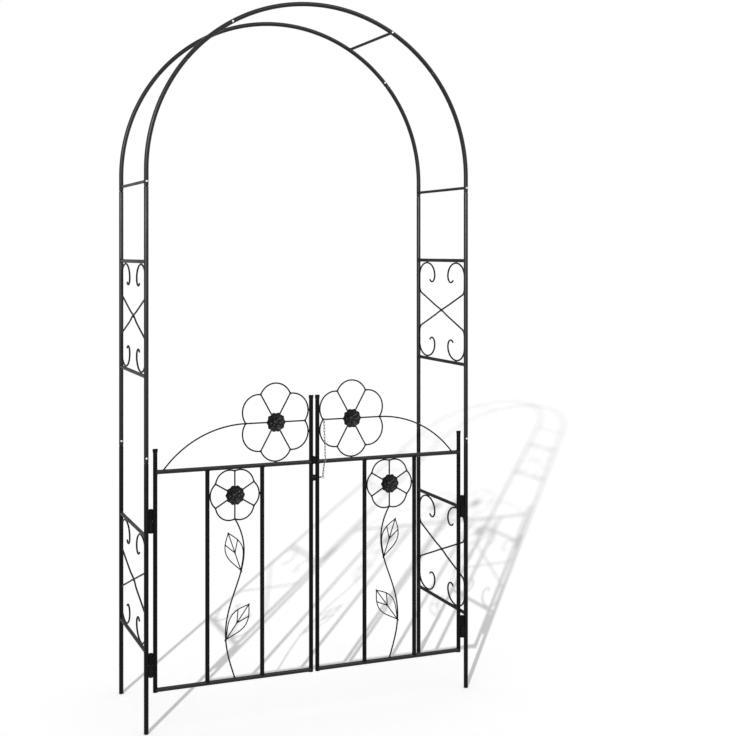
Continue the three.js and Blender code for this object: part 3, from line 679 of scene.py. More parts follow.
for face, face_name in FACES:
    y = -face * FRONT_Y
    for side, side_name in SIDES:
        straight = [Vector((POST_X, y, SHOULDER_JOINT)), Vector((POST_X, y, SHOULDER_JOINT + LIP))]
        curve = bend(0, CROWN_JOINT - SWAGE_TURN, y)
        tip = [arch_point(CROWN_JOINT, y), arch_point(CROWN_JOINT + SPIGOT_TURN, y)]
        path = [Vector((side * point.x, point.y, point.z)) for point in straight + curve + tip]
        radii = [TUBE - LIP] + [TUBE] * (len(path) - 3) + [SPIGOT] * 2
        part = f"{face_name}_{side_name}"
        shoulder = Shape()
        skin_path(shoulder, path, ALONG_Y, radii, TUBE_SIDES)
        build(f"{part}_bent_shoulder", shoulder, "arch_frame", "powder_coat", f"{part}_shoulder",
              finishes=PAINTED_HIGHLIGHT)
    ends = [arch_point(CROWN_JOINT, y), arch_point(math.pi - CROWN_JOINT, y)]
    path = ends[:1] + bend(CROWN_JOINT + LIP_TURN, math.pi - CROWN_JOINT - LIP_TURN, y) + ends[1:]
    radii = [TUBE - LIP] + [TUBE] * (len(path) - 2) + [TUBE - LIP]
    crown = Shape()
    skin_path(crown, path, ALONG_Y, radii, TUBE_SIDES)
    build(f"{face_name}_bent_crown", crown, "arch_frame", "powder_coat", f"{face_name}_crown",
          finishes=PAINTED_HIGHLIGHT)
print("places along a crown:", len(path))

# %% [markdown]
# ## Bars from front to back
# Four thin bars tie the front arch to the back one. Each is threaded at its ends and held by a screw
# through the tube, so there is no weld there, only an end cut to the tube's round.

# %% Tie bars
TIE = 0.005
BAR_SIDES = 20
SPRING_HEIGHT = 1.744
TOP_BAR_ANGLE = math.radians(60)
top_bar = arch_point(TOP_BAR_ANGLE, 0)


def depth_tubes(x, z, axis):
    """The front and the back tube that a bar runs between."""
    return [(Vector((x, y, z)), axis, TUBE) for y in (FRONT_Y, -FRONT_Y)]


for side, side_name in SIDES:
    slope = Vector((-math.sin(TOP_BAR_ANGLE) * side, 0, math.cos(TOP_BAR_ANGLE)))
    for bar_name, x, z, axis in (("spring_bar", POST_X, SPRING_HEIGHT, ALONG_Z),
                                 ("top_bar", top_bar.x, top_bar.z, slope)):
        node = f"{side_name}_{bar_name}"
        bar = Shape()
        strut(bar, depth_tubes(side * x, z, axis), Vector((side * x, 0, z)), ALONG_Y, TIE, BAR_SIDES)
        build(f"{node}_rod", bar, "arch_frame", "powder_coat", node, finishes=PAINTED_SHADE)
print("tie bars at", SPRING_HEIGHT, "and", round(top_bar.z, 3))

# %% [markdown]
# ## Side panels
# Each side has two panels: a bar above and below, and between them a pair of scrolls that cross in
# the middle. The scroll is one wire, bent to a hook and a small curl at each end. Half of its path is
# three arcs, and the other half is the same path turned half a turn. Where the two wires cross, one
# passes in front of the other, so each leans out of the plane by its own thickness there.

# %% Panel bars
PANEL_BAR = 0.006
PANELS = [(side, f"{side_name}_{level_name}_panel") for side, side_name in SIDES
          for level_name in ("lower", "upper")]

for side, panel in PANELS:
    for node in (f"{panel}_bottom_bar", f"{panel}_top_bar"):
        x, z = side * POST_X, middle_of(node)[2]
        bar = Shape()
        welded_strut(bar, depth_tubes(x, z, ALONG_Z), Vector((x, 0, z)), ALONG_Y, PANEL_BAR, BAR_SIDES)
        build(f"{node}_rod", bar, "arch_frame", "powder_coat", node, finishes=PAINTED_SHADE)
print("panels:", len(PANELS))

# %% Path of a scroll
HOOK_WIDTH = 0.132
HOOK_RISE = 0.046
HOOK_STEPS = 26
CURL = 0.024
CURL_END = math.radians(-40)
CURL_STEPS = 14
POST_RUN = 0.042
SCROLL_BEND = 0.026
SCROLL_BEND_STEPS = 9


def arc(centre, radii, start, end, steps):
    """Places on an arc of a circle or an oval, as pairs."""
    turns = [start + (end - start) * i / steps for i in range(steps + 1)]
    return [(centre[0] + radii[0] * math.cos(turn), centre[1] + radii[1] * math.sin(turn)) for turn in turns]


def half_scroll(reach_y, reach_z):
    """Curl, hook, run along the post and bend into the diagonal, as pairs of y and z."""
    hook_z = reach_z - HOOK_RISE
    run_end = hook_z - POST_RUN
    diagonal = math.atan2(run_end - SCROLL_BEND, reach_y) - math.pi / 2
    curl = arc((reach_y - HOOK_WIDTH + CURL, hook_z), (CURL, CURL), CURL_END, -math.pi, CURL_STEPS)
    hook = arc((reach_y - HOOK_WIDTH / 2, hook_z), (HOOK_WIDTH / 2, HOOK_RISE), math.pi, 0, HOOK_STEPS)
    into_diagonal = arc((reach_y - SCROLL_BEND, run_end), (SCROLL_BEND, SCROLL_BEND), 0, diagonal,
                        SCROLL_BEND_STEPS)
    return curl + hook[1:] + into_diagonal


print("hook of a scroll:", HOOK_WIDTH, "wide and", HOOK_RISE, "high")

# %% Scroll pairs
SCROLL_WIRE = 0.003
WIRE_SIDES = 12
WIRE_END = 0.8
CONTACT = 0.0003
CROSSING_REACH = 0.03
CROSSING_STEPS = 16
CROSSING_LEAN = 0.96
TACK_INSET = 0.004

for side, panel in PANELS:
    bottom, top = middle_of(f"{panel}_bottom_bar")[2], middle_of(f"{panel}_top_bar")[2]
    middle = Vector((side * POST_X, 0, (bottom + top) / 2))
    reach_y = -FRONT_Y - TUBE - CONTACT - SCROLL_WIRE
    reach_z = (top - bottom) / 2 - PANEL_BAR - CONTACT - SCROLL_WIRE
    half = half_scroll(reach_y, reach_z)
    shares = [1 - 2 * i / CROSSING_STEPS for i in range(1, CROSSING_STEPS)]
    diagonal = [(half[-1][0] * share, half[-1][1] * share) for share in shares]
    outline = half + diagonal + [(-y, -z) for y, z in reversed(half)]
    scrolls = Shape()
    for face in (-1, 1):
        path = []
        for y, z in outline:
            lean = SCROLL_WIRE * CROSSING_LEAN * math.exp(-(y * y + z * z) / CROSSING_REACH ** 2)
            path.append(middle + Vector((face * lean, face * y, z)))
        radii = [SCROLL_WIRE * WIRE_END] + [SCROLL_WIRE] * (len(path) - 2) + [SCROLL_WIRE * WIRE_END]
        skin_path(scrolls, path, ALONG_X, radii, WIRE_SIDES)
        for end in (-1, 1):
            hook_y = face * end * (reach_y - HOOK_WIDTH / 2)
            tack(scrolls, middle + Vector((0, hook_y, end * (reach_z + SCROLL_WIRE))), ALONG_Y, ALONG_X)
            post_y, post_z = face * end * (reach_y + SCROLL_WIRE), end * (reach_z - HOOK_RISE)
            for drop in (TACK_INSET, POST_RUN - TACK_INSET):
                tack(scrolls, middle + Vector((0, post_y, post_z)) - Vector((0, 0, end * drop)), ALONG_Z,
                     ALONG_X)
    tack(scrolls, middle, ALONG_Z, ALONG_X, size=0.0032, length=0.009)
    build(f"{panel}_scroll_wires", scrolls, "arch_frame", "powder_coat", f"{panel}_scrolls", finishes=PAINTED_SHADE)
print("places in a whole scroll:", len(outline))

# %% [markdown]
# ## Lift-off hinges
# The post carries a short stub with a standing pin, and the leaf drops its hollow knuckle over the
# pin. Both are turned pieces, so a profile of heights and radii is enough. Two beads hold each one.

# %% Hinge halves on the posts
KNUCKLE = 0.0067
HINGE_HALF = 0.038
HINGE_PIN = 0.004
HINGE_PIN_TIP = 0.0015
HINGE_PIN_END = 0.65
HINGE_CHAMFER = 0.0006
HINGE_SIDES = 24
SEAM_OFFSET = 0.0036
SEAM_INSET = 0.003
POST_SEAM = 0.032
HINGE_LEVELS = ("lower", "upper")


def add_seams(shape, x, z, length):
    """The two upright beads, front and back, that hold half a hinge."""
    for face in (-1, 1):
        bead_line(shape, Vector((x, FRONT_Y + face * SEAM_OFFSET, z + SEAM_INSET)), length)


for side, side_name in SIDES:
    for level_name in HINGE_LEVELS:
        node = f"{side_name}_{level_name}_post_hinge"
        low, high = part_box(node)
        hinge_x = middle_of(node)[0]
        bearing = low.z + HINGE_HALF
        profile = [(low.z, KNUCKLE - HINGE_CHAMFER), (low.z + HINGE_CHAMFER, KNUCKLE),
                   (bearing - HINGE_CHAMFER, KNUCKLE), (bearing, KNUCKLE - HINGE_CHAMFER),
                   (bearing, HINGE_PIN), (high.z - HINGE_PIN_TIP, HINGE_PIN),
                   (high.z, HINGE_PIN * HINGE_PIN_END)]
        hinge = Shape()
        upright(hinge, hinge_x, FRONT_Y, profile, HINGE_SIDES)
        add_seams(hinge, (side * (POST_X - TUBE) + hinge_x + side * KNUCKLE) / 2, low.z, POST_SEAM)
        build(f"{node}_stub", hinge, "arch_frame", "powder_coat", node)
HINGE_X = abs(hinge_x)
print("hinge axes at x", round(HINGE_X, 4))

# %% [markdown]
# ## A hole for the latch pin
# The pin slides right through one stile, and the open gate shows the hole. A dark disc would only
# look like one from the front. So a rod is taken away from the tube by a Boolean modifier, before the
# tube is shaded, and one extra ring above it and one below keep the cut faces short.

# %% Drill through a tube
PIN_HOLE = 0.0033
HOLE_MARGIN = 0.006
HOLE_SIDES = 32
latch_z = middle_of("left_keeper")[2]


def drilled(tube, centre, reach):
    """The shape of a tube once a level hole has been bored through it."""
    rod = Shape()
    rod.add_rings([circle(centre + ALONG_X * end, ALONG_X, PIN_HOLE, HOLE_SIDES)[0]
                   for end in (-reach, reach)])
    blanks = []
    for shape in (tube, rod):
        mesh = bpy.data.meshes.new("blank")
        mesh.from_pydata(shape.points, [], shape.faces)
        blanks.append(bpy.data.objects.new("blank", mesh))
        bpy.context.scene.collection.objects.link(blanks[-1])
    bore = blanks[0].modifiers.new("bore", "BOOLEAN")
    bore.operation = "DIFFERENCE"
    bore.solver = "EXACT"
    bore.object = blanks[1]
    bored = blanks[0].evaluated_get(bpy.context.evaluated_depsgraph_get()).data
    result = Shape()
    result.points = [vertex.co.copy() for vertex in bored.vertices]
    result.faces = [tuple(face.vertices) for face in bored.polygons]
    result.finishes = [0] * len(result.faces)
    for blank in blanks:
        bpy.data.objects.remove(blank)
    return result


print("latch height:", round(latch_z, 4))

# %% [markdown]
# ## Gate leaves: stiles, rails and bars
# A leaf is a ladder of tubes: two stiles, two rails and two upright bars. The stiles stay open at the
# foot, and their tops are hammered flat, which closes them against rain. The flat is wider than the
# tube, as the steel has to go somewhere. A slit shows where the two walls meet.

# %% Profile of a stile
STILE = 0.007
STILE_BORE = 0.0058
BORE_DEPTH = 0.02
CRIMP_LENGTH = 0.016
CRIMP_SLOPE = 0.62
CRIMP_STEPS = 9
CRIMP_WIDE = 0.0085
CRIMP_THIN = 0.0026
CRIMP_EDGE = 0.0007
SLIT = 0.0004
SLIT_DEPTH = 0.003


def flattened_stile(foot, top):
    """Heights and radii of a tube that is open at the foot and hammered flat at the top."""
    profile = [(foot + BORE_DEPTH, STILE_BORE), (foot, STILE_BORE), (foot, STILE - LIP / 2),
               (foot + LIP, STILE), (latch_z - HOLE_MARGIN, STILE), (latch_z + HOLE_MARGIN, STILE)]
    for i in range(CRIMP_STEPS + 1):
        share = i / CRIMP_STEPS
        eased = share * share * (3 - 2 * share)
        wide = STILE + (CRIMP_WIDE - STILE) * eased
        thin = STILE + (CRIMP_THIN - STILE) * eased
        profile.append((top - CRIMP_LENGTH * (1 - share * CRIMP_SLOPE), wide, thin))
    slit_wide = CRIMP_WIDE - 2 * CRIMP_EDGE
    profile += [(top - CRIMP_EDGE, CRIMP_WIDE, CRIMP_THIN),
                (top, CRIMP_WIDE - CRIMP_EDGE, CRIMP_THIN - CRIMP_EDGE),
                (top, slit_wide, SLIT), (top - SLIT_DEPTH, slit_wide, SLIT)]
    return profile


print("rings in a stile:", len(flattened_stile(0, 1)))

# %% Measure the leaves
LEAVES = ((-1, "left", "left_leaf"), (1, "right", "right_leaf"))
RAIL_NAMES = ("top_rail", "bottom_rail")

rail_z = {name: middle_of(f"right_{name}")[2] for name in RAIL_NAMES}
stile_x = {}
for side, side_name, _ in LEAVES:
    stile_x[side_name, "meeting"] = middle_of(f"{side_name}_meeting_stile")[0]
    stile_x[side_name, "hinge"] = side * (HINGE_X - KNUCKLE - STILE - CONTACT)
print("stiles at x", [round(x, 4) for x in stile_x.values()])
print("rails at z", [round(z, 4) for z in rail_z.values()])

# %% Tube and knuckles of a stile
KNUCKLE_SEAM = 0.031


def stile(side_name, kind):
    """The plain tube of a stile, with its foot level with the leaf's other stile."""
    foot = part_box(f"{side_name}_hinge_stile")[0].z
    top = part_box(f"{side_name}_{kind}_stile")[1].z
    shape = Shape()
    upright(shape, stile_x[side_name, kind], FRONT_Y, flattened_stile(foot, top), TUBE_SIDES)
    return shape


def add_knuckle(shape, side, side_name, level_name):
    """A hollow knuckle that stands on its half of the hinge, with the two beads that hold it."""
    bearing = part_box(f"{side_name}_{level_name}_post_hinge")[0].z + HINGE_HALF
    bottom, top = bearing + CONTACT, bearing + HINGE_HALF
    profile = [(bottom, HINGE_PIN + CONTACT), (bottom, KNUCKLE - HINGE_CHAMFER),
               (bottom + HINGE_CHAMFER, KNUCKLE), (top - HINGE_CHAMFER, KNUCKLE),
               (top, KNUCKLE - HINGE_CHAMFER), (top, HINGE_PIN + CONTACT)]
    upright(shape, side * HINGE_X, FRONT_Y, profile, HINGE_SIDES, closed=True)
    seam_x = (stile_x[side_name, "hinge"] + side * STILE + side * HINGE_X - side * KNUCKLE) / 2
    add_seams(shape, seam_x, bottom, KNUCKLE_SEAM)


print("knuckle height:", round(HINGE_HALF - CONTACT, 4))

# %% Stiles of both leaves
for side, side_name, body in LEAVES:
    meeting = stile(side_name, "meeting")
    if side_name == "right":
        meeting = drilled(meeting, Vector((stile_x["right", "meeting"], FRONT_Y, latch_z)), 2 * STILE)
    build(f"{side_name}_meeting_stile_tube", meeting, body, "powder_coat", f"{side_name}_meeting_stile",
          finishes=PAINTED_SHADE)
    hinged = stile(side_name, "hinge")
    for level_name in HINGE_LEVELS:
        add_knuckle(hinged, side, side_name, level_name)
    build(f"{side_name}_hinge_stile_tube", hinged, body, "powder_coat", f"{side_name}_hinge_stile",
          finishes=PAINTED_SHADE)
print("faces on the drilled stile:", len(meeting.faces))

# %% Rails and upright bars
RAIL = 0.007
BAR = 0.007
rail_tube = {name: (Vector((0, FRONT_Y, z)), ALONG_X, RAIL) for name, z in rail_z.items()}

for side, side_name, body in LEAVES:
    stile_tubes = [(Vector((stile_x[side_name, kind], FRONT_Y, 0)), ALONG_Z, STILE)
                   for kind in ("hinge", "meeting")]
    stile_tubes.sort(key=lambda tube: tube[0].x)
    for rail_name, z in rail_z.items():
        node = f"{side_name}_{rail_name}"
        centre = Vector((sum(tube[0].x for tube in stile_tubes) / 2, FRONT_Y, z))
        rail = Shape()
        welded_strut(rail, stile_tubes, centre, ALONG_X, RAIL, TUBE_SIDES)
        build(f"{node}_tube", rail, body, "powder_coat", node, finishes=PAINTED_HIGHLIGHT)
    rail_tubes = [rail_tube["bottom_rail"], rail_tube["top_rail"]]
    for bar_name in ("outer_bar", "inner_bar"):
        node = f"{side_name}_{bar_name}"
        x, _, z = middle_of(node)
        bar = Shape()
        welded_strut(bar, rail_tubes, Vector((x, FRONT_Y, z)), ALONG_Z, BAR, TUBE_SIDES)
        build(f"{node}_tube", bar, body, "powder_coat", node, finishes=PAINTED_SHADE)
print("length of a rail:", round(stile_tubes[1][0].x - stile_tubes[0][0].x - 2 * STILE, 4))

# %% [markdown]
# ## Flowers of wire
# Each leaf carries a large flower above its rail and a small one below it. Six round petals meet at
# six points, and three wires run through the middle, where the casting covers them. From the size of
# the flower to the points and to the petals' tips, one circle through them gives each petal.

# %% Circle of a petal
PETALS = 6
HALF_PETAL = math.pi / PETALS
TALL = 1.05
WIRE = 0.0025
WIRE_BACK = 0.002
WIRE_Y = FRONT_Y + WIRE_BACK
LARGE_POINT = 0.1015
LARGE_TIP = 0.122
HALF_BAR_SPACING = 0.092
SMALL_POINT = 0.074
SMALL_TIP = HALF_BAR_SPACING - BAR - CONTACT - WIRE


def petal_circle(point, tip):
    """Radius, distance from the flower's middle and half angle of the arc through two points and a tip."""
    chord = point * math.cos(HALF_PETAL)
    half_width = point * math.sin(HALF_PETAL)
    rise = tip - chord
    radius = (half_width ** 2 + rise ** 2) / (2 * rise)
    return radius, tip - radius, math.atan2(half_width, chord - tip + radius)


print("petal circles:", [round(size, 4) for size in petal_circle(LARGE_POINT, LARGE_TIP)])

# %% Wires of a flower
PETAL_STEPS = 24
LUMP_BACK = 0.001


def flower(centre, point, tip, first):
    """Petals, spokes and weld lumps of one flower."""
    radius, offset, half_angle = petal_circle(point, tip)

    def place(x, z):
        return centre + Vector((x, 0, TALL * z))

    wires = Shape()
    for i in range(PETALS):
        middle = first + 2 * HALF_PETAL * i
        petal_middle = (offset * math.cos(middle), offset * math.sin(middle))
        pairs = arc(petal_middle, (radius, radius), middle - half_angle, middle + half_angle, PETAL_STEPS)
        skin_path(wires, [place(*pair) for pair in pairs], ALONG_Y, WIRE, WIRE_SIDES)
        angle = middle + HALF_PETAL
        corner = place(point * math.cos(angle), point * math.sin(angle))
        tack(wires, corner, (corner - centre).normalized(), ALONG_Y, size=0.0036, length=0.009)
    for i in range(PETALS // 2):
        angle = first + HALF_PETAL + 2 * HALF_PETAL * i
        far = place(point * math.cos(angle), point * math.sin(angle))
        skin_path(wires, [2 * centre - far, centre, far], ALONG_Y, WIRE, WIRE_SIDES)
    tack(wires, centre + ALONG_Y * LUMP_BACK, ALONG_Y, ALONG_X, size=0.007, length=0.006)
    return wires


print("wires in a flower:", PETALS + PETALS // 2)

# %% Large and small flowers
FLOWERS = (("large", LARGE_POINT, LARGE_TIP, HALF_PETAL), ("small", SMALL_POINT, SMALL_TIP, 0.0))
flower_centre = {}

for side, side_name, body in LEAVES:
    for size_name, point, tip, first in FLOWERS:
        node = f"{side_name}_{size_name}_flower"
        x, _, z = middle_of(node)
        centre = Vector((x, WIRE_Y, z))
        flower_centre[side_name, size_name] = centre
        wires = flower(centre, point, tip, first)
        radius, offset, _ = petal_circle(point, tip)
        if size_name == "large":
            tack(wires, centre - ALONG_Z * (TALL * tip + WIRE), ALONG_X, ALONG_Y)
            for lift in (-1, 1):
                touch_x = -side * (offset * math.cos(HALF_PETAL) + radius + WIRE)
                touch_z = lift * TALL * offset * math.sin(HALF_PETAL)
                tack(wires, centre + Vector((touch_x, 0, touch_z)), ALONG_Z, ALONG_Y)
        else:
            for across in (-1, 1):
                tack(wires, centre + ALONG_X * across * (tip + WIRE), ALONG_Z, ALONG_Y)
                touch_x = across * offset * math.sin(HALF_PETAL)
                touch_z = TALL * (offset * math.cos(HALF_PETAL) + radius) + WIRE
                tack(wires, centre + Vector((touch_x, 0, touch_z)), ALONG_X, ALONG_Y)
        build(f"{node}_wires", wires, body, "powder_coat", node)
        print(node, "middle:", round(x, 4), round(z, 4))

# %% [markdown]
# ## Arc wire
# One more wire leaves the large flower level and falls to the top rail near the hinge. It is part of
# a circle whose top is at the flower, so its radius follows from how far it runs and how far it drops.

# %% Arc wires
ARC_INSET = 0.029
ARC_SINK = 0.5
ARC_STEPS = 40
BEAD_BACK = 0.02

for side, side_name, body in LEAVES:
    centre = flower_centre[side_name, "large"]
    start_x = abs(centre.x) + LARGE_POINT
    run = abs(stile_x[side_name, "hinge"]) - ARC_INSET - start_x
    drop = centre.z - rail_z["top_rail"] - RAIL
    radius = (run ** 2 + drop ** 2) / (2 * drop)
    end_turn = math.acos((radius - drop - RAIL * ARC_SINK) / radius)
    pairs = arc((start_x, centre.z - radius), (radius, radius), math.pi / 2, math.pi / 2 - end_turn,
                ARC_STEPS)
    path = [Vector((side * x, WIRE_Y, z)) for x, z in pairs]
    arc_wire = Shape()
    skin_path(arc_wire, path, ALONG_Y, WIRE, WIRE_SIDES)
    way = (path[-1] - path[-2]).normalized()
    bead_ring(arc_wire, rail_tube["top_rail"], path[-1] - way * BEAD_BACK, way, WIRE)
    build(f"{side_name}_arc_wire_bent", arc_wire, body, "powder_coat", f"{side_name}_arc_wire")
print("radius of the arc wire:", round(radius, 4))

# %% [markdown]
# ## Stems and leaves
# Below each small flower a wire swings once to each side and lands on the bottom rail, like a stem.
# Two leaves grow from it. A sine gives the swing, and a power on its share of the height moves the
# crossing up or down, which is simpler to tune than a hand-drawn curve.

# %% Path of a stem
STEM_SWING = 0.031
STEM_POWER = 0.872
STEM_STEPS = 60
STEM_SINK = 0.6


def stem_pair(share, middle_x, top):
    """A place on the stem, as a distance from the gate's middle and a height."""
    swing = math.sin(math.tau * share ** STEM_POWER) * STEM_SWING
    return middle_x - swing, top + (rail_z["bottom_rail"] + RAIL * STEM_SINK - top) * share


print("swing of the stem:", STEM_SWING)

# %% A veined leaf
LEAF_WIRE = 0.0018
LEAF_HALF_WIDTH_SHARE = 0.22
LEAF_POWER = 1.16
LEAF_STEPS = 24
VEIN_START = 0.48
VEIN_END = 0.76


def veined_leaf(shape, side, base, lean, length):
    """A midrib, two edges and two veins, with a lump of weld where they meet."""
    def place(share, offset):
        x = base[0] + share * length * math.sin(lean) + offset * math.cos(lean)
        z = base[1] + share * length * math.cos(lean) - offset * math.sin(lean)
        return Vector((side * x, WIRE_Y, z))

    def edge(share):
        return LEAF_HALF_WIDTH_SHARE * length * math.sin(math.pi * share ** LEAF_POWER)

    foot, tip = place(0, 0), place(1, 0)
    skin_path(shape, [foot, tip], ALONG_Y, LEAF_WIRE, WIRE_SIDES)
    for face in (-1, 1):
        shares = [i / LEAF_STEPS for i in range(LEAF_STEPS + 1)]
        skin_path(shape, [place(share, face * edge(share)) for share in shares], ALONG_Y, LEAF_WIRE,
                  WIRE_SIDES)
        vein = [place(VEIN_START, 0), place(VEIN_END, face * edge(VEIN_END))]
        skin_path(shape, vein, ALONG_Y, LEAF_WIRE, WIRE_SIDES)
        way = (vein[1] - vein[0]).normalized()
        tack(shape, vein[0], way, ALONG_Y, size=0.0028, length=0.006)
        tack(shape, vein[1], way, ALONG_Y, size=0.0026, length=0.005)
    along = (tip - foot).normalized()
    tack(shape, foot, along, ALONG_Y, size=0.0038, length=0.011)
    tack(shape, tip, along, ALONG_Y, size=0.0032, length=0.008)


print("half width of a leaf as a share of its length:", LEAF_HALF_WIDTH_SHARE)

# %% Stems with their leaves
LEAF_LENGTH_SHARE = 0.254
LEAF_PLACES = ((0.33, math.radians(19)), (0.754, math.radians(-36)))

for side, side_name, body in LEAVES:
    centre = flower_centre[side_name, "small"]
    top = centre.z - TALL * SMALL_POINT
    leaf_length = LEAF_LENGTH_SHARE * (top - rail_z["bottom_rail"])
    pairs = [stem_pair(i / STEM_STEPS, abs(centre.x), top) for i in range(STEM_STEPS + 1)]
    path = [Vector((side * x, WIRE_Y, z)) for x, z in pairs]
    stem = Shape()
    skin_path(stem, path, ALONG_Y, WIRE, WIRE_SIDES)
    bead_ring(stem, rail_tube["bottom_rail"], path[-3], (path[-1] - path[-3]).normalized(), WIRE)
    for share, lean in LEAF_PLACES:
        veined_leaf(stem, side, stem_pair(share, abs(centre.x), top), lean, leaf_length)
    build(f"{side_name}_stem_and_leaves", stem, body, "powder_coat", f"{side_name}_stem")
print("length of a leaf:", round(leaf_length, 4))

# %% [markdown]
# ## Cast rosettes
# The casting in the middle of a flower is a rose of its own: ten broad petals, seven shorter ones
# above them, a collar of five small ones, and a dome. A height map on a disc would smear where the
# petals overlap, so each petal is its own cupped shell with a thickness, laid over the one below.

# %% One cast petal
PETAL_ROWS = 8
PETAL_COLUMNS = 8
PETAL_ROUNDING = 6
PETAL_FOOT_WIDTH = 0.62
PETAL_SPREAD = 0.5
PETAL_SHOULDER = 0.1
CUP_ACROSS = 0.5
CUP_ALONG = 0.4
ROW_START = 0.02
ROW_SPAN = 0.96


def cast_petal(shape, centre, turn, inner, outer, half_width, thickness, lift, cup):
    """A cupped shell from the inner to the outer radius, with its front and its back."""
    def place(u, v, depth):
        rounding = math.sqrt(max(1 - (2 * u - 1) ** PETAL_ROUNDING, 0.0))
        width = half_width * rounding * (PETAL_FOOT_WIDTH + PETAL_SPREAD * u)
        reach = inner + (outer - inner) * (u - PETAL_SHOULDER * v * v * u)
        front = lift + cup * (v * v * CUP_ACROSS + u * u * CUP_ALONG) - depth
        sideways = v * width
        x = reach * math.cos(turn) - sideways * math.sin(turn)
        z = reach * math.sin(turn) + sideways * math.cos(turn)
        return centre + Vector((x, -front, z))

    rings = []
    for i in range(PETAL_ROWS + 1):
        u = ROW_START + ROW_SPAN * i / PETAL_ROWS
        front = [place(u, 2 * k / PETAL_COLUMNS - 1, 0) for k in range(PETAL_COLUMNS + 1)]
        back = [place(u, 1 - 2 * k / PETAL_COLUMNS, thickness) for k in range(PETAL_COLUMNS + 1)]
        rings.append(front + back)
    shape.add_rings(rings)


print("points on a cast petal:", 2 * (PETAL_ROWS + 1) * (PETAL_COLUMNS + 1))

# %% Castings on the flowers
# Each layer has a count, an inner and an outer radius, half a petal's width, a thickness, a lift off
# the flower, the depth of its cup, and the share of a petal by which it is turned.
ROSETTE_LAYERS = ((10, 0.012, 0.0330, 0.0092, 0.0018, 0.0010, 0.0034, 0.0),
                  (7, 0.008, 0.0250, 0.0094, 0.0016, 0.0030, 0.0048, 0.3),
                  (5, 0.007, 0.0155, 0.0070, 0.0014, 0.0046, 0.0056, 0.0))
# The plate and the dome are one turned profile, as a depth and a radius for each ring.
PLATE = ((0.0, 0.023), (0.0, 0.0265), (-0.0012, 0.026), (-0.0022, 0.020), (-0.0034, 0.013),
         (-0.0038, 0.0095), (-0.0038, 0.0082), (-0.0062, 0.0078), (-0.0078, 0.0060), (-0.0087, 0.0036),
         (-0.0090, 0.001))
PLATE_SIDES = 30


def rosette(centre):
    """Three layers of petals and a dome on a round plate."""
    casting = Shape()
    for count, *sizes, phase in ROSETTE_LAYERS:
        for i in range(count):
            cast_petal(casting, centre, math.tau * (i + phase) / count, *sizes)
    casting.add_rings([[centre + Vector((radius * math.cos(turn), y, radius * math.sin(turn)))
                        for turn in even_turns(PLATE_SIDES)] for y, radius in PLATE])
    return casting


for side, side_name, body in LEAVES:
    for size_name in ("large", "small"):
        seat = flower_centre[side_name, size_name] - ALONG_Y * WIRE
        nodes = [f"{side_name}_large_rosette"] if size_name == "large" else []
        build(f"{side_name}_{size_name}_cast_rosette", rosette(seat), body, "cast_steel", *nodes,
              finishes=(cast_coat,))
print("petals in a casting:", sum(layer[0] for layer in ROSETTE_LAYERS))

# %% [markdown]
# ## Latch
# A pin through the right meeting stile slides into a keeper on the left one, and a stop bead above it
# keeps the leaves from swinging past each other. The keeper is a short sleeve whose back is cut to
# the round of the stile.

# %% Keeper
KEEPER = 0.010
KEEPER_BORE = 0.005
MOUTH_CHAMFER = 0.0005
KEEPER_CHAMFER = 0.0006
left_stile = (Vector((stile_x["left", "meeting"], FRONT_Y, 0)), ALONG_Z, STILE)
face_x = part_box("left_keeper")[1].x

keeper = Shape()
rings = []
for x, radius in ((left_stile[0].x + STILE + CONTACT, KEEPER_BORE), (face_x - MOUTH_CHAMFER, KEEPER_BORE),
                  (face_x, KEEPER_BORE + MOUTH_CHAMFER), (face_x, KEEPER - KEEPER_CHAMFER),
                  (face_x - KEEPER_CHAMFER, KEEPER)):
    rings.append(circle(Vector((x, FRONT_Y, latch_z)), -ALONG_X, radius, TUBE_SIDES)[0])
rings.append([slide_to_tube(point, -ALONG_X, left_stile) for point in rings[-1]])
keeper.add_rings(rings)
bead_ring(keeper, left_stile, Vector((face_x, FRONT_Y, latch_z)), -ALONG_X, KEEPER)
build("left_latch_keeper_sleeve", keeper, "left_leaf", "powder_coat", "left_keeper")
print("keeper bore:", KEEPER_BORE)

# %% Stop bead
STOP_OVERLAP = 0.8
STOP_STEPS = 14
STOP_SEAM = 0.019
STOP_SEAM_X = 0.001
STOP_HALF_DEPTH = 0.005
# Each ring of the plate has a depth and a size; the outer two are smaller, which breaks its edges.
STOP_LAYERS = ((-STOP_HALF_DEPTH, 0.88), (-0.0044, 1.0), (0.0044, 1.0), (STOP_HALF_DEPTH, 0.88))

stop_low, stop_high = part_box("left_stop_bead")
left_x = stile_x["left", "meeting"] + STILE * STOP_OVERLAP
half = (stop_high.x - left_x) / 2
outline = [(left_x, stop_low.z), (stop_high.x, stop_low.z)]
outline += arc((left_x + half, stop_high.z - half), (half, half), 0, math.pi, STOP_STEPS)
centre = Vector((left_x + half, 0, (stop_low.z + stop_high.z) / 2))
stop = Shape()
rings = []
for y, share in STOP_LAYERS:
    rings.append([Vector((centre.x + (x - centre.x) * share, FRONT_Y + y, centre.z + (z - centre.z) * share))
                  for x, z in outline])
stop.add_rings(rings)
for y in (-STOP_HALF_DEPTH, STOP_HALF_DEPTH):
    bead_line(stop, Vector((left_x + STOP_SEAM_X, FRONT_Y + y, stop_low.z + SEAM_INSET)), STOP_SEAM)
build("left_stop_bead_plate", stop, "left_leaf", "powder_coat", "left_stop_bead")
print("stop bead height:", round(stop_high.z - stop_low.z, 4))

# %% [markdown]
# ## Pin and chain
# The pin is a rod with its end bent to an eye. A small chain runs from the eye to a ring round the
# flower's wire, so the pin can't get lost. Each link is an oval of wire, turned a quarter from the
# one before, and two links touch where their wires cross.

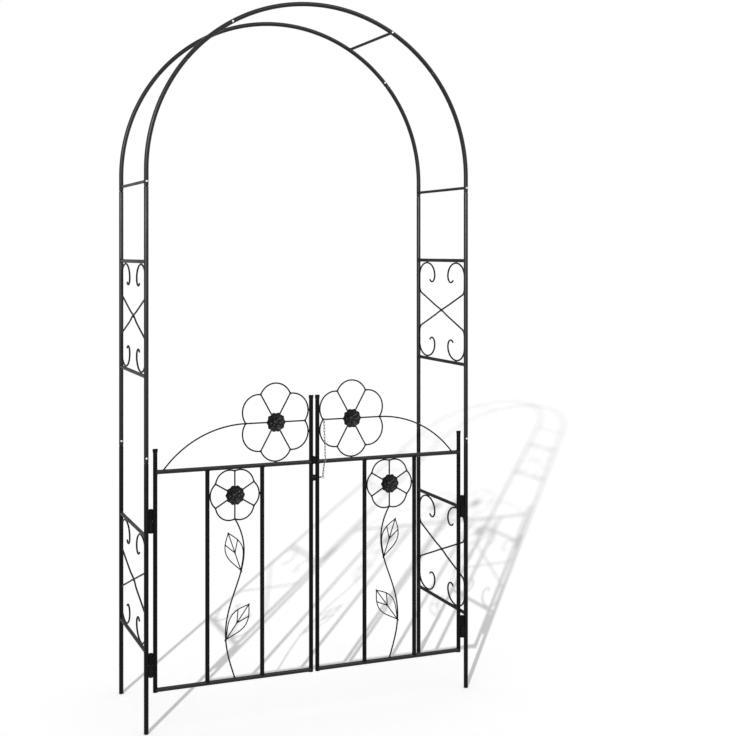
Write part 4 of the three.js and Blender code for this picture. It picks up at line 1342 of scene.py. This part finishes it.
# %% Pin with an eye
PIN = 0.003
PIN_SIDES = 24
PIN_CHAMFER = 0.0008
PIN_TIP = 0.72
EYE = 0.004
EYE_STEPS = 36
EYE_SIDES = 10
LINK_WIRE = 0.001
NECK_LENGTH = 0.004
NECK = 1.2

pin_low, pin_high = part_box("latch_pin")
eye_x = pin_high.x - EYE - LINK_WIRE
pin_places = (pin_low.x, pin_low.x + PIN_CHAMFER, eye_x - EYE - NECK_LENGTH, eye_x - EYE)
pin = Shape()
skin_path(pin, [Vector((x, FRONT_Y, latch_z)) for x in pin_places], ALONG_Y,
          [PIN * PIN_TIP, PIN, PIN, LINK_WIRE * NECK], PIN_SIDES)
eye_pairs = arc((eye_x, latch_z), (EYE, EYE), 0, math.tau, EYE_STEPS)[:-1]
skin_path(pin, [Vector((x, FRONT_Y, z)) for x, z in eye_pairs], ALONG_Y, LINK_WIRE, EYE_SIDES, closed=True)
build("latch_pin_and_eye", pin, "latch_pin", "zinc", "latch_pin", finishes=(chain_coat,))
print("eye at x", round(eye_x, 4))

# %% One link
LINK_HALF_WIDTH = 0.0025
LINK_STEPS = 28
LINK_SIDES = 8


def oval_link(shape, top, bottom, flat_way):
    """One link between the places where it meets its neighbours."""
    along = (top - bottom).normalized()
    side = along.cross(flat_way).normalized()
    half_length = (top - bottom).length / 2 + LINK_WIRE - LINK_HALF_WIDTH
    path = []
    for k, turn in enumerate(even_turns(LINK_STEPS)):
        rise = LINK_HALF_WIDTH * math.sin(turn)
        rise += half_length if k <= LINK_STEPS // 2 else -half_length
        path.append((top + bottom) / 2 + side * (LINK_HALF_WIDTH * math.cos(turn)) + along * rise)
    skin_path(shape, path, along.cross(side), LINK_WIRE, LINK_SIDES, closed=True)


print("width of a link:", round(2 * (LINK_HALF_WIDTH + LINK_WIRE), 4))

# %% Line of the chain
LINKS = 18
RING = 0.007
CHAIN_FRONT = 0.0005
EYE_SLACK = 0.0008


def spaced(corners, count):
    """Places at even distances along a line with corners."""
    lengths = [(b - a).length for a, b in zip(corners, corners[1:])]
    result = []
    for i in range(count + 1):
        rest = sum(lengths) * i / count
        for start, end, length in zip(corners, corners[1:], lengths):
            if rest <= length or end is corners[-1]:
                result.append(start.lerp(end, min(rest / length, 1)))
                break
            rest -= length
    return result


large = flower_centre["right", "large"]
ring_x = large.x - LARGE_POINT + WIRE + LINK_WIRE
ring_top = large.z + WIRE + CONTACT + LINK_WIRE
front_y = FRONT_Y - RAIL - CHAIN_FRONT - LINK_HALF_WIDTH - LINK_WIRE
rail_reach = RAIL + LINK_HALF_WIDTH
lowest = latch_z + EYE - LINK_WIRE - EYE_SLACK - LINK_WIRE
corners = [Vector((ring_x, WIRE_Y, ring_top - 2 * RING + LINK_WIRE)),
           Vector((ring_x, front_y, rail_z["top_rail"] + rail_reach)),
           Vector((eye_x, front_y, rail_z["top_rail"] - rail_reach)),
           Vector((eye_x, FRONT_Y, lowest + LINK_WIRE))]
joints = spaced(corners, LINKS)
print("links:", LINKS, "pitch:", round((joints[1] - joints[0]).length, 5))

# %% Chain and ring
RING_STEPS = 32

chain = Shape()
for i, (top, bottom) in enumerate(zip(joints, joints[1:])):
    oval_link(chain, top, bottom, ALONG_X if i % 2 else ALONG_Y)
ring_pairs = arc((WIRE_Y, ring_top - RING), (RING, RING), 0, math.tau, RING_STEPS)[:-1]
skin_path(chain, [Vector((ring_x, y, z)) for y, z in ring_pairs], ALONG_X, LINK_WIRE, LINK_SIDES,
          closed=True)
build("latch_chain_links", chain, "latch_chain", "zinc", "latch_chain", finishes=(chain_coat,))
print("faces on the chain:", len(chain.faces))

# %% [markdown]
# ## Screws
# Small pan-head screws hold the joints low on the posts and high on the arch, and the tie bars at
# their ends. They are zinc plated like the chain, and show as bright dots on the black tube. The head
# is a grid of rings round a dome, and the points that fall inside a cross are pushed in for the driver.

# %% One pan-head screw
HEAD = 0.0036
HEAD_RISE = 0.0022
HEAD_SINK = 0.0011
HEAD_ROWS = 15
HEAD_SIDES = 40
CROSS_HALF = 0.0006
CROSS_REACH = 0.0022
CROSS_DEPTH = 0.0011


def screw(shape, place, outward):
    """A domed head on the skin of a tube, with a cross for the driver."""
    side = outward.cross(ALONG_X).normalized()
    up = outward.cross(side)
    rings = []
    for row in range(HEAD_ROWS):
        share = 1 - row / HEAD_ROWS
        ring = []
        for turn in even_turns(HEAD_SIDES):
            across, rise = HEAD * share * math.cos(turn), HEAD * share * math.sin(turn)
            height = HEAD_RISE * (1 - share ** 4)
            in_cross = min(abs(across), abs(rise)) < CROSS_HALF and max(abs(across), abs(rise)) < CROSS_REACH
            height -= CROSS_DEPTH if in_cross else 0
            ring.append(place + side * across + up * rise + outward * height)
        rings.append(ring)
    skirt = [point - outward * HEAD_SINK for point in rings[0]]
    shape.add_rings([skirt] + rings)


print("points on a screw head:", (HEAD_ROWS + 1) * HEAD_SIDES)

# %% Screws at the joints
SCREW_ANGLE = math.radians(41.4)
POST_SCREW_HEIGHT = 0.870
TURNED_JOINT = (-1, 1)

screws = Shape()
for side, _ in SIDES:
    for face, _ in FACES:
        outer = ALONG_Y * face
        skin_y = face * (-FRONT_Y + TUBE)
        screw(screws, Vector((side * POST_X, face * -FRONT_Y - TUBE, POST_SCREW_HEIGHT)), -ALONG_Y)
        screw(screws, Vector((side * POST_X, skin_y, SPRING_HEIGHT)), outer)
        screw(screws, Vector((side * top_bar.x, skin_y, top_bar.z)), outer)
        turned = outer if (side, face) == TURNED_JOINT else -outer
        on_joint = arch_point(SCREW_ANGLE, -face * FRONT_Y)
        screw(screws, Vector((side * on_joint.x, on_joint.y, on_joint.z)) + turned * TUBE, turned)
build("joint_screws", screws, "arch_frame", "zinc", finishes=(zinc_coat,))
print("points on all the screws:", len(screws.points))

# %% [markdown]
# ## Pieces and faces
# The dressed model may stand a little proud of the plain solids, but not much.

# %% Count the pieces
print("pieces:", len(made), "faces:", sum(len(piece.data.polygons) for piece in made))
